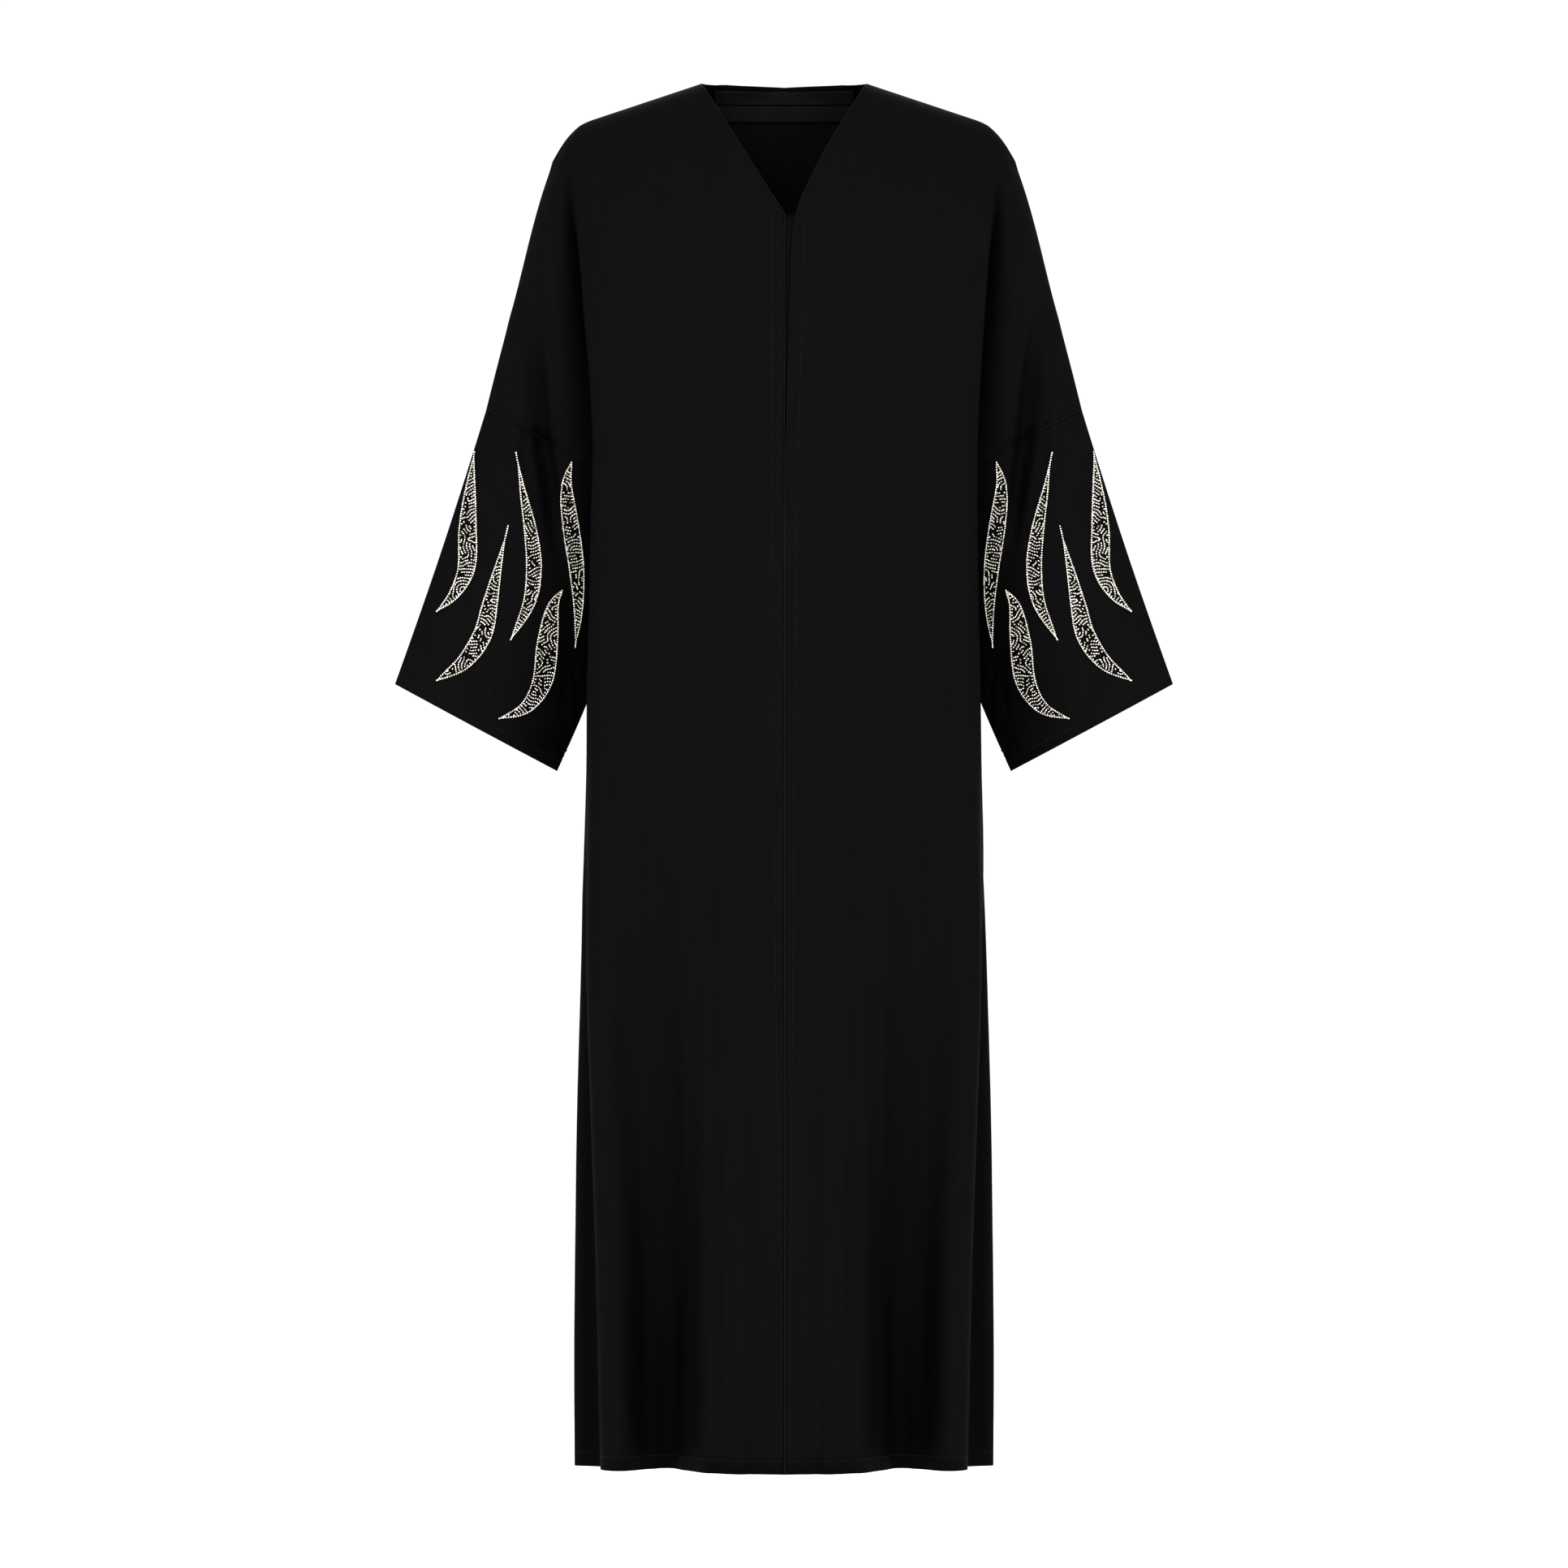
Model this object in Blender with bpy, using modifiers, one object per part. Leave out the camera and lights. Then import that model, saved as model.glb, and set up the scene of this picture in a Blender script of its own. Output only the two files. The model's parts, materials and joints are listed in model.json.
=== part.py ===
"""A black open-front abaya with cut-on upper sleeves, filled out as if worn. Metres, +Z up.

The origin is on the shoulder line, midway between the two neck points. The front faces -Y and the
wearer's left is at +X. Shoulder, overarm and side seams lie in the plane Y = 0.
"""

import math
from dataclasses import dataclass, fields

import bpy
import numpy as np
from mathutils import Vector
from mathutils.bvhtree import BVHTree

# Cloth and seams
WALL = 0.0018  # modelled wall of the cloth
SEAM_GAP = 0.0003  # between two pieces at a seam
HALF_GAP = SEAM_GAP / 2

# Lengths and openings
LENGTH = 1.408  # neck point to hem, as it hangs
FRONT_SPLIT_X = 0.0010  # the line where the two fronts meet, to the wearer's left of the middle
FRONT_SPLIT_DRIFT = 0.0050  # how much further over it lies at the foot of the V
FRONT_SPLIT_GAP = 0.0010  # between the front edges where they hang together
FRONT_SPLIT_GAP_AT_V = 0.0110  # between them at the foot of the V
SPLIT_CLOSES_Z = -0.46  # from here down they hang together

# Columns and rows of the panels' mesh
BODY_COLUMNS = 24
ARM_COLUMNS = 10

SHOULDER_ROUND = 0.0045  # how far the shoulder seam bows up over the top of the arm
VALLEY_SLOPE = 0.56  # fall of the shoulder seam past the shoulder point
ROUND_SHARES = (0, 0.2, 0.4, 0.6, 0.78, 0.92, 1.0)  # of the quarter turn from centre to side
V_LEVEL = 4  # the foot of the V
YOKE_LEVEL = 3  # from this level down a row leaves the centre line level
YOKE_CURL = 0.6  # how much it then falls towards the side rather than at the centre


@dataclass(frozen=True)
class Level:
    """One line across half a panel: centre line, widest body edge, valley beside the arm, overarm seam.

    Depths are measured from the plane Y = 0 and heights from the neck point.
    """

    centre_x: float
    centre_depth: float
    centre_z: float
    edge_x: float
    edge_depth: float
    edge_z: float
    valley_x: float
    valley_depth: float
    arm_x: float
    arm_z: float
    arm_depth: float
    squareness: float


@dataclass(frozen=True)
class Turn:
    """A ridge or trough of the hanging folds: where it lies on the unfolded row, and at the hem.

    It starts to form at top_z and has its full size from full_z down.
    """

    share: float
    hem_x: float
    hem_depth: float
    top_z: float
    full_z: float


# Below the underarm the valley is the side seam, and the arm columns only repeat the underarm's.
# centre_x, depth, z | edge_x, depth, z | valley_x, depth | arm_x, z, depth | squareness
FRONT_LEVELS = (
    Level(0.0845, 0.000, 0.0000, 0.2012, 0.000, -0.0389, 0.2085, 0.000, 0.2370, -0.081, 0.000, 2.0),
    Level(0.0810, 0.017, -0.0060, 0.2075, 0.014, -0.0500, 0.2165, 0.012, 0.2400, -0.092, 0.007, 2.0),
    Level(0.0678, 0.038, -0.0280, 0.2135, 0.030, -0.0780, 0.2205, 0.026, 0.2468, -0.112, 0.016, 2.1),
    Level(0.0414, 0.068, -0.0720, 0.2130, 0.046, -0.1250, 0.2160, 0.034, 0.2580, -0.152, 0.027, 2.3),
    Level(0.0000, 0.096, -0.1395, 0.2078, 0.060, -0.1900, 0.2030, 0.031, 0.2707, -0.204, 0.036, 2.5),
    Level(0.0000, 0.118, -0.2300, 0.2020, 0.070, -0.2650, 0.1860, 0.029, 0.2835, -0.253, 0.039, 2.6),
    Level(0.0000, 0.128, -0.3300, 0.1975, 0.076, -0.3450, 0.1650, 0.021, 0.2956, -0.299, 0.040, 2.6),
    Level(0.0000, 0.130, -0.4250, 0.1966, 0.078, -0.4200, 0.1430, 0.000, 0.3045, -0.335, 0.041, 2.6),
    Level(0.0000, 0.130, -0.5200, 0.1975, 0.080, -0.5200, 0.1430, 0.000, 0.3045, -0.335, 0.041, 2.6),
    Level(0.0000, 0.129, -0.6450, 0.2003, 0.074, -0.6450, 0.1740, 0.000, 0.3045, -0.335, 0.041, 2.5),
    Level(0.0000, 0.128, -0.8000, 0.2030, 0.056, -0.8000, 0.1930, 0.000, 0.3045, -0.335, 0.041, 2.3),
    Level(0.0000, 0.128, -1.0000, 0.2060, 0.036, -1.0000, 0.1990, 0.000, 0.3045, -0.335, 0.041, 2.0),
    Level(0.0000, 0.130, -1.2000, 0.2080, 0.024, -1.2000, 0.2035, 0.000, 0.3045, -0.335, 0.041, 1.75),
    Level(0.0000, 0.132, -LENGTH, 0.2100, 0.016, -LENGTH, 0.2070, 0.000, 0.3045, -0.335, 0.041, 1.6),
)
BACK_LEVELS = (
    Level(0.0845, 0.000, 0.0000, 0.2012, 0.000, -0.0389, 0.2085, 0.000, 0.2370, -0.081, 0.000, 2.0),
    Level(0.0790, 0.020, 0.0004, 0.2070, 0.016, -0.0500, 0.2165, 0.013, 0.2400, -0.092, 0.007, 2.0),
    Level(0.0600, 0.043, 0.0018, 0.2130, 0.033, -0.0760, 0.2205, 0.028, 0.2468, -0.112, 0.017, 2.1),
    Level(0.0000, 0.060, 0.0008, 0.2120, 0.050, -0.1200, 0.2160, 0.036, 0.2580, -0.152, 0.028, 2.2),
    Level(0.0000, 0.084, -0.0800, 0.2060, 0.062, -0.1850, 0.2030, 0.031, 0.2707, -0.204, 0.038, 2.4),
    Level(0.0000, 0.104, -0.1800, 0.2000, 0.072, -0.2620, 0.1860, 0.029, 0.2835, -0.253, 0.041, 2.6),
    Level(0.0000, 0.112, -0.2950, 0.1950, 0.077, -0.3440, 0.1650, 0.021, 0.2956, -0.299, 0.041, 2.6),
    Level(0.0000, 0.114, -0.4120, 0.1940, 0.080, -0.4200, 0.1430, 0.000, 0.3045, -0.335, 0.041, 2.6),
    Level(0.0000, 0.116, -0.5200, 0.1955, 0.082, -0.5200, 0.1430, 0.000, 0.3045, -0.335, 0.041, 2.6),
    Level(0.0000, 0.118, -0.6450, 0.1990, 0.078, -0.6450, 0.1740, 0.000, 0.3045, -0.335, 0.041, 2.5),
    Level(0.0000, 0.121, -0.8000, 0.2025, 0.064, -0.8000, 0.1930, 0.000, 0.3045, -0.335, 0.041, 2.3),
    Level(0.0000, 0.126, -1.0000, 0.2060, 0.050, -1.0000, 0.1990, 0.000, 0.3045, -0.335, 0.041, 2.1),
    Level(0.0000, 0.132, -1.2000, 0.2085, 0.040, -1.2000, 0.2035, 0.000, 0.3045, -0.335, 0.041, 2.0),
    Level(0.0000, 0.138, -LENGTH, 0.2105, 0.034, -LENGTH, 0.2070, 0.000, 0.3045, -0.335, 0.041, 1.9),
)
UNDERARM_LEVEL = 7
ROWS_PER_LEVEL = (1, 1, 2, 2, 2, 1, 1, 1, 2, 2, 2, 2, 2)

# share, X and depth at the hem, top, full
FRONT_TURNS = (
    Turn(0.10, 0.0270, 0.1270, -0.95, -LENGTH),
    Turn(0.17, 0.0480, 0.1290, -0.85, -LENGTH),
    Turn(0.22, 0.0620, 0.1215, -0.85, -LENGTH),
    Turn(0.27, 0.0765, 0.1185, -0.75, -LENGTH),
    Turn(0.34, 0.0950, 0.0880, -0.72, -1.43),
    Turn(0.41, 0.1180, 0.0620, -0.68, -1.43),
    Turn(0.47, 0.1400, 0.0670, -0.62, -1.38),
    Turn(0.52, 0.1530, 0.0860, -0.56, -1.10),
    Turn(0.56, 0.1690, 0.0925, -0.52, -0.98),
    Turn(0.605, 0.1850, 0.0790, -0.50, -0.95),
    Turn(0.65, 0.1855, 0.0570, -0.50, -0.95),
    Turn(0.70, 0.1800, 0.0410, -0.50, -0.98),
    Turn(0.76, 0.1960, 0.0310, -0.55, -1.30),
    Turn(0.82, 0.2145, 0.0270, -0.70, -LENGTH),
    Turn(0.90, 0.2125, 0.0120, -0.70, -LENGTH),
)
BACK_TURNS = (
    Turn(0.08, 0.0280, 0.1200, -0.50, -1.30),
    Turn(0.17, 0.0600, 0.1380, -0.55, -1.30),
    Turn(0.25, 0.0860, 0.1190, -0.60, -1.30),
    Turn(0.32, 0.1050, 0.1040, -0.60, -1.30),
    Turn(0.40, 0.1280, 0.1210, -0.60, -1.30),
    Turn(0.47, 0.1490, 0.1110, -0.56, -1.25),
    Turn(0.53, 0.1610, 0.0900, -0.56, -1.25),
    Turn(0.60, 0.1820, 0.0930, -0.56, -1.20),
    Turn(0.67, 0.1990, 0.0740, -0.60, -1.35),
    Turn(0.74, 0.1910, 0.0530, -0.56, -1.20),
    Turn(0.82, 0.2140, 0.0400, -0.70, -LENGTH),
    Turn(0.90, 0.2110, 0.0180, -0.70, -LENGTH),
)

# Lower sleeve, from the seam above the beadwork to its hem. Pairs are X and Z.
SLEEVE_INNER_SEAM = (FRONT_LEVELS[UNDERARM_LEVEL].valley_x, FRONT_LEVELS[UNDERARM_LEVEL].edge_z)
SLEEVE_OUTER_SEAM = (FRONT_LEVELS[UNDERARM_LEVEL].arm_x, FRONT_LEVELS[UNDERARM_LEVEL].arm_z)
SLEEVE_INNER_HEM = (0.2315, -0.7015)
SLEEVE_OUTER_HEM = (0.3970, -0.6127)
SLEEVE_INNER_BOW = -0.0120  # how far the underarm edge hangs towards the body at its middle
SLEEVE_OUTER_BOW = -0.0020
SLEEVE_HEM_DEPTH = 0.026
SLEEVE_ROWS = 11
UNDERARM_CLEARANCE = 0.0006  # from the lower sleeve to the side seam at the underarm

# The long crease down each side of the arm. Its place is a share of the way from valley to overarm seam.
ARM_CREASE_AT_TOP = 0.78
ARM_CREASE_AT_SEAM = 0.64
ARM_CREASE_AT_HEM = -0.12  # it has faded out before it gets there
ARM_CREASE_HALF_WIDTH = 0.20
ARM_CREASE_DEPTH = 0.013
ARM_CREASE_FROM_LEVEL = 3.5
ARM_CREASE_FADE = 1.5  # the power by which it fades down the lower sleeve
ARM_SWELL_LEAN = 0.35  # how much fuller the arm is towards its underarm edge

# Strip behind the front opening
UNDERLAP_COLUMNS = (-0.0130, -0.0010, 0.0110, 0.0230)  # X of its mesh columns
UNDERLAP_END_LEVEL = 8

# Strips inside the back neck
NECK_STRIP_WALL = 0.0010
NECK_STRIP_LIFT = 0.0010  # from the back's inside to a strip, at the strip's own mesh points
NECK_STRIP_COLUMNS = 16
NECK_BAND = {"top_z": -0.0025, "foot_z": -0.0165, "end_x": 0.0720}
NECK_FACING = {"top_z": -0.0172, "foot_z": -0.0335, "end_x": 0.0780}


def smooth_column(values):
    """A function that runs smoothly through evenly spaced values without overshoot."""
    values = np.asarray(values, float)
    step = np.diff(values)
    slope = np.zeros(len(values))
    for i in range(1, len(values) - 1):
        if step[i - 1] * step[i] > 0:
            slope[i] = 2 * step[i - 1] * step[i] / (step[i - 1] + step[i])
    slope[0], slope[-1] = step[0], step[-1]

    def at(place):
        i = min(int(place), len(values) - 2)
        t = place - i
        rise = (1 + 2 * t) * (1 - t) ** 2 * values[i] + t * t * (3 - 2 * t) * values[i + 1]
        return rise + t * (1 - t) ** 2 * slope[i] + t * t * (t - 1) * slope[i + 1]

    return at


def smoothstep(t):
    """0 to 1 with level ends."""
    t = min(max(t, 0.0), 1.0)
    return t * t * (3 - 2 * t)


def mix(a, b, t):
    return a + (b - a) * t


def bump(distance):
    """1 at the middle of a crease and 0 at its rim, with no kink at either."""
    return (1 - min(abs(distance), 1.0) ** 2) ** 2


def between(a, b, knot_a, knot_b, t):
    return mix(a, b, (t - knot_a) / (knot_b - knot_a))


def curve_through(points, samples=8):
    """A centripetal curve from the first point to the last but one, which the last one steers."""
    points = [2 * points[0] - points[1], *points]
    out = [points[1]]
    for i in range(1, len(points) - 2):
        near = points[i - 1 : i + 3]
        knot = [0.0]
        for a, b in zip(near, near[1:]):
            knot.append(knot[-1] + np.linalg.norm(b - a) ** 0.5)
        for t in np.linspace(knot[1], knot[2], samples + 1)[1:]:
            line = [between(near[j], near[j + 1], knot[j], knot[j + 1], t) for j in range(3)]
            line = [between(line[j], line[j + 1], knot[j], knot[j + 2], t) for j in range(2)]
            out.append(between(line[0], line[1], knot[1], knot[2], t))
    return np.array(out)


def spaced(line, shares):
    """Points at these shares of a line's length."""
    lengths = np.concatenate([[0], np.cumsum(np.linalg.norm(np.diff(line, axis=0), axis=1))])
    at = np.asarray(shares) * lengths[-1]
    return np.stack([np.interp(at, lengths, line[:, i]) for i in range(3)], axis=1)


def row_places():
    """The places down the level table at which the mesh has a row."""
    places = [0.0]
    for level, rows in enumerate(ROWS_PER_LEVEL):
        places += [level + (n + 1) / rows for n in range(rows)]
    return places


def arm_profile(w, valley_depth, arm_depth, crease_at, crease):
    """Depth across the arm, w running from the valley or underarm edge to the overarm seam."""
    swell = math.sin(math.pi * w) ** (1 - ARM_SWELL_LEAN * w) if 0 < w < 1 else 0.0
    depth = valley_depth * (1 - w) ** 2 + arm_depth * swell
    depth -= crease * bump((w - crease_at) / ARM_CREASE_HALF_WIDTH) * ARM_CREASE_DEPTH
    return max(depth, HALF_GAP)


def arm_shares():
    """Shares across the arm, closer together at its edges."""
    return [(1 - math.cos(math.pi * j / ARM_COLUMNS)) / 2 for j in range(ARM_COLUMNS + 1)]


def front_edge(side):
    """X of a front's centre edge on its own side. side is +1 for the wearer's left."""

    def at(z):
        closed = smoothstep(z / SPLIT_CLOSES_Z)
        gap = mix(FRONT_SPLIT_GAP_AT_V, FRONT_SPLIT_GAP, closed)
        middle = FRONT_SPLIT_X + FRONT_SPLIT_DRIFT * (1 - closed)
        return side * middle + gap / 2

    return at


class PanelForm:
    """The outer skin of half a front or back, at +X. towards is -1 for a front and +1 for the back."""

    def __init__(self, levels, turns, towards, centre_edge=None):
        self.at = {f.name: smooth_column([getattr(level, f.name) for level in levels]) for f in fields(Level)}
        self.turns = turns
        self.towards = towards
        self.centre_edge = centre_edge

    def point(self, x, depth, z):
        return np.array([x, self.towards * depth, z])

    def sizes(self, place):
        return {name: at(place) for name, at in self.at.items()}

    def arm_row(self, place):
        """Points from the valley beside the body, over the arm, to the overarm seam."""
        s = self.sizes(min(place, UNDERARM_LEVEL))
        run = smoothstep((place - ARM_CREASE_FROM_LEVEL) / (UNDERARM_LEVEL - ARM_CREASE_FROM_LEVEL))
        crease_at = mix(ARM_CREASE_AT_TOP, ARM_CREASE_AT_SEAM, run)
        round_up = SHOULDER_ROUND * max(1 - place, 0)
        valley_z = self.valley_z(s)
        points = []
        for w in arm_shares():
            depth = arm_profile(w, s["valley_depth"], s["arm_depth"], crease_at, run)
            z = mix(valley_z, s["arm_z"], w) + round_up * math.sin(math.pi * w)
            points.append(self.point(mix(s["valley_x"], s["arm_x"], w), depth, z))
        return np.array(points)

    def valley_z(self, s):
        return s["edge_z"] - VALLEY_SLOPE * max(s["valley_x"] - s["edge_x"], 0)

    def unfolded_row(self, place):
        """A fine line from the centre round the side to the valley, which is the side seam lower down."""
        s = self.sizes(place)
        centre_x = s["centre_x"]
        if self.centre_edge and place >= V_LEVEL:
            centre_x = self.centre_edge(s["centre_z"])
        elif self.centre_edge and place > V_LEVEL - 1:
            top, foot = self.sizes(V_LEVEL - 1), self.sizes(V_LEVEL)
            down = (s["centre_z"] - top["centre_z"]) / (foot["centre_z"] - top["centre_z"])
            centre_x = mix(top["centre_x"], self.centre_edge(foot["centre_z"]), down)
        fall_power = 1 + YOKE_CURL * min(place / YOKE_LEVEL, 1)
        control = []
        for share in ROUND_SHARES:
            turn = share * math.pi / 2
            across = math.sin(turn) ** (2 / s["squareness"])
            drop = 1 - abs(math.cos(turn)) ** (2 / s["squareness"])
            control.append(
                self.point(
                    mix(centre_x, s["edge_x"], across),
                    mix(s["centre_depth"], s["edge_depth"], drop),
                    mix(s["centre_z"], s["edge_z"], across**fall_power),
                )
            )
        valley = self.point(s["valley_x"], s["valley_depth"], self.valley_z(s))
        middle = (control[-1] + valley) / 2
        beyond = self.arm_row(place)[1] if place < UNDERARM_LEVEL else middle * np.array([1, -1, 1])
        return curve_through([*control, middle, valley, beyond])

    def body_row(self, place, shares):
        """Points at these shares of a row's length, with its hanging folds."""
        line = self.unfolded_row(place)
        if self.turns and place > UNDERARM_LEVEL:
            z = line[0, 2]
            starts = spaced(line, [0, *(turn.share for turn in self.turns), 1])
            hem_starts = spaced(self.unfolded_row(len(FRONT_LEVELS) - 1), [turn.share for turn in self.turns])
            for start, hem_start, turn in zip(starts[1:-1], hem_starts, self.turns):
                run = smoothstep((turn.top_z - z) / (turn.top_z - turn.full_z))
                shift = self.point(turn.hem_x, turn.hem_depth, -LENGTH) - hem_start
                start += run * shift * np.array([1, 1, 0])
            line = curve_through([*starts, starts[-2] * np.array([1, -1, 1])])
        out = spaced(line, shares)
        out[:, 1] = self.towards * np.maximum(self.towards * out[:, 1], HALF_GAP)
        return out


class Skin:
    """Points and quads of an open surface, which Solidify then gives its wall."""

    def __init__(self):
        self.points = []
        self.faces = []

    def add_grid(self, rows, flipped, closed=False, known=None):
        """Adds rows of points and the quads between them. known gives points that are there already."""
        known = known or {}
        index = []
        for r, row in enumerate(rows):
            line = []
            for c, point in enumerate(row):
                if (r, c) not in known:
                    self.points.append(tuple(point))
                line.append(known.get((r, c), len(self.points) - 1))
            index.append(line)
        for upper, lower in zip(index, index[1:]):
            for c in range(len(upper) if closed else len(upper) - 1):
                d = (c + 1) % len(upper)
                face = (upper[c], upper[d], lower[d], lower[c])
                self.faces.append(face[::-1] if flipped else face)
        return index

    def made(self, name, material, trims=(), thickness=WALL):
        """The walled object. Each trim moves the points of one seam's wall back to their own side of it."""
        data = bpy.data.meshes.new(name)
        data.from_pydata(self.points, [], self.faces)
        draft = bpy.data.objects.new(name, data)
        garment.objects.link(draft)
        wall = draft.modifiers.new("wall", "SOLIDIFY")
        wall.thickness = thickness
        wall.offset = -1
        bpy.context.view_layer.update()
        walled = bpy.data.meshes.new_from_object(draft.evaluated_get(bpy.context.evaluated_depsgraph_get()))
        draft.data = walled
        draft.modifiers.clear()
        bpy.data.meshes.remove(data)
        walled.name = name
        for vertex in walled.vertices:
            for trim in trims:
                vertex.co = trim(np.array(vertex.co))
        walled.materials.clear()
        walled.materials.append(material)
        walled.shade_smooth()
        walled.set_sharp_from_angle(angle=math.radians(50))
        return draft


def behind_seam_plane(towards):
    """Keeps a panel on its own side of the shoulder, overarm and side seams."""

    def trim(point):
        point[1] = towards * max(towards * point[1], HALF_GAP)
        return point

    return trim


def across_arm():
    """The unit vector in the sleeve seam's plane, from underarm to overarm, at +X."""
    across = np.subtract(SLEEVE_OUTER_SEAM, SLEEVE_INNER_SEAM)
    across = across / np.linalg.norm(across)
    return np.array([across[0], 0.0, across[1]])


def down_sleeve():
    """The unit vector down the sleeve, square to its seam, at +X."""
    across = across_arm()
    return np.array([across[2], 0.0, -across[0]])


def above_sleeve_seam(side):
    """Keeps the panel's arm above the seam of the lower sleeve."""
    underarm = np.array([SLEEVE_INNER_SEAM[0], 0.0, SLEEVE_INNER_SEAM[1]])
    mirror = np.array([side, 1, 1])

    def trim(point):
        from_underarm = point * mirror - underarm
        past = from_underarm @ down_sleeve() + HALF_GAP
        if from_underarm @ across_arm() > 0 and 0 < past < WALL:
            point = point - past * down_sleeve() * mirror
        return point

    return trim


def below_sleeve_seam(side):
    """Keeps the lower sleeve below its seam."""
    underarm = np.array([SLEEVE_INNER_SEAM[0], 0.0, SLEEVE_INNER_SEAM[1]])
    mirror = np.array([side, 1, 1])

    def trim(point):
        short = HALF_GAP - (point * mirror - underarm) @ down_sleeve()
        return point + max(short, 0) * down_sleeve() * mirror

    return trim


def add_half_panel(skin, form, side, centre=None):
    """Adds half a panel. centre gives the points of the other half's centre line, where the halves meet."""
    shares = np.linspace(0, 1, BODY_COLUMNS + 1)
    places = row_places()
    last_arm_row = sum(ROWS_PER_LEVEL[:UNDERARM_LEVEL])
    mirror = np.array([side, 1, 1])
    body = [form.body_row(place, shares) * mirror for place in places]
    body[0][:, 1] = form.towards * HALF_GAP
    arms = [form.arm_row(place) * mirror for place in places[: last_arm_row + 1]]
    arms[0][:, 1] = form.towards * HALF_GAP
    arms[-1][1:] -= down_sleeve() * mirror * HALF_GAP
    flipped = side * form.towards < 0
    columns = skin.add_grid(body, flipped, known=centre)
    known = {(r, 0): columns[r][-1] for r in range(last_arm_row + 1)}
    skin.add_grid(arms, flipped, known=known)
    return columns


def make_front(side):
    """A front with the front of its upper sleeve."""
    name = "front_left" if side > 0 else "front_right"
    skin = Skin()
    add_half_panel(skin, PanelForm(FRONT_LEVELS, FRONT_TURNS, -1, front_edge(side)), side)
    return skin.made(name, crepe, (behind_seam_plane(-1), above_sleeve_seam(side)))


def make_back():
    """The back, in one piece across the middle, with the backs of both upper sleeves."""
    form = PanelForm(BACK_LEVELS, BACK_TURNS, 1)
    skin = Skin()
    columns = add_half_panel(skin, form, 1)
    first_whole_row = sum(ROWS_PER_LEVEL[:YOKE_LEVEL])
    centre = {(r, 0): columns[r][0] for r in range(first_whole_row, len(columns))}
    add_half_panel(skin, form, -1, centre)
    return skin.made("back", crepe, (behind_seam_plane(1), above_sleeve_seam(1), above_sleeve_seam(-1)))


def make_sleeve(side):
    """A lower sleeve: a flattened tube with a long crease down its front and its back."""
    name = "sleeve_left" if side > 0 else "sleeve_right"
    mirror = np.array([side, 1, 1])
    seam_depths = (FRONT_LEVELS[UNDERARM_LEVEL].arm_depth, BACK_LEVELS[UNDERARM_LEVEL].arm_depth)
    inner_seam = np.array([SLEEVE_INNER_SEAM[0], 0, SLEEVE_INNER_SEAM[1]]) + UNDERARM_CLEARANCE * across_arm()
    outer_seam = np.array([SLEEVE_OUTER_SEAM[0], 0, SLEEVE_OUTER_SEAM[1]])
    inner_hem = np.array([SLEEVE_INNER_HEM[0], 0, SLEEVE_INNER_HEM[1]])
    outer_hem = np.array([SLEEVE_OUTER_HEM[0], 0, SLEEVE_OUTER_HEM[1]])
    shares = arm_shares()
    rows = []
    for r in range(SLEEVE_ROWS + 1):
        t = r / SLEEVE_ROWS
        bow = math.sin(math.pi * t)
        inner = mix(inner_seam, inner_hem, t) + across_arm() * SLEEVE_INNER_BOW * bow
        outer = mix(outer_seam, outer_hem, t) + across_arm() * SLEEVE_OUTER_BOW * bow
        crease_at = mix(ARM_CREASE_AT_SEAM, ARM_CREASE_AT_HEM, t)
        crease = (1 - t) ** ARM_CREASE_FADE
        row = []
        for towards, seam_depth in zip((-1, 1), seam_depths):
            half = []
            for w in shares:
                depth = arm_profile(w, 0, mix(seam_depth, SLEEVE_HEM_DEPTH, t), crease_at, crease)
                half.append(mix(inner, outer, w) + np.array([0, towards * depth * (0 < w < 1), 0]))
            row += half[:-1] if towards < 0 else half[:0:-1]
        rows.append(np.array(row) * mirror)
    rows[0] += down_sleeve() * mirror * HALF_GAP
    skin = Skin()
    skin.add_grid(rows, flipped=side > 0, closed=True)
    return skin.made(name, crepe, (below_sleeve_seam(side),))


def make_underlap():
    """The strip that shows between the front edges. It lies on the insides of both fronts."""
    form = PanelForm(FRONT_LEVELS, (), -1)
    inset = np.array([0, WALL + SEAM_GAP, 0])
    rows = []
    for place in row_places():
        if UNDERARM_LEVEL - 3 <= place <= UNDERLAP_END_LEVEL:
            line = form.body_row(place, np.linspace(0, 1, BODY_COLUMNS + 1))
            depths = np.interp(np.abs(UNDERLAP_COLUMNS), line[:, 0], line[:, 1])
            heights = np.interp(np.abs(UNDERLAP_COLUMNS), line[:, 0], line[:, 2])
            rows.append(np.stack([UNDERLAP_COLUMNS, depths, heights], axis=1) + inset)
    skin = Skin()
    skin.add_grid(rows, flipped=True)
    return skin.made("underlap", crepe)


def make_neck_strip(name, back, strip):
    """A strip on the inside of the back, made from the points of its wall, moved in."""
    wall = BVHTree.FromObject(back, bpy.context.evaluated_depsgraph_get())
    rows = []
    for z in np.linspace(strip["top_z"], strip["foot_z"], 3):
        row = []
        for x in np.linspace(-strip["end_x"], strip["end_x"], NECK_STRIP_COLUMNS + 1):
            on_wall, normal, _, _ = wall.ray_cast(Vector((x, 0, z)), Vector((0, 1, 0)))
            row.append(on_wall + normal * NECK_STRIP_LIFT)
        rows.append(row)
    skin = Skin()
    skin.add_grid(rows, flipped=False)
    return skin.made(name, crepe, thickness=NECK_STRIP_WALL)


def start_scene():
    """Empties the scene and starts the garment's own collection."""
    for obj in list(bpy.data.objects):
        bpy.data.objects.remove(obj)
    collection = bpy.data.collections.new("abaya")
    bpy.context.scene.collection.children.link(collection)
    return collection


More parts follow.
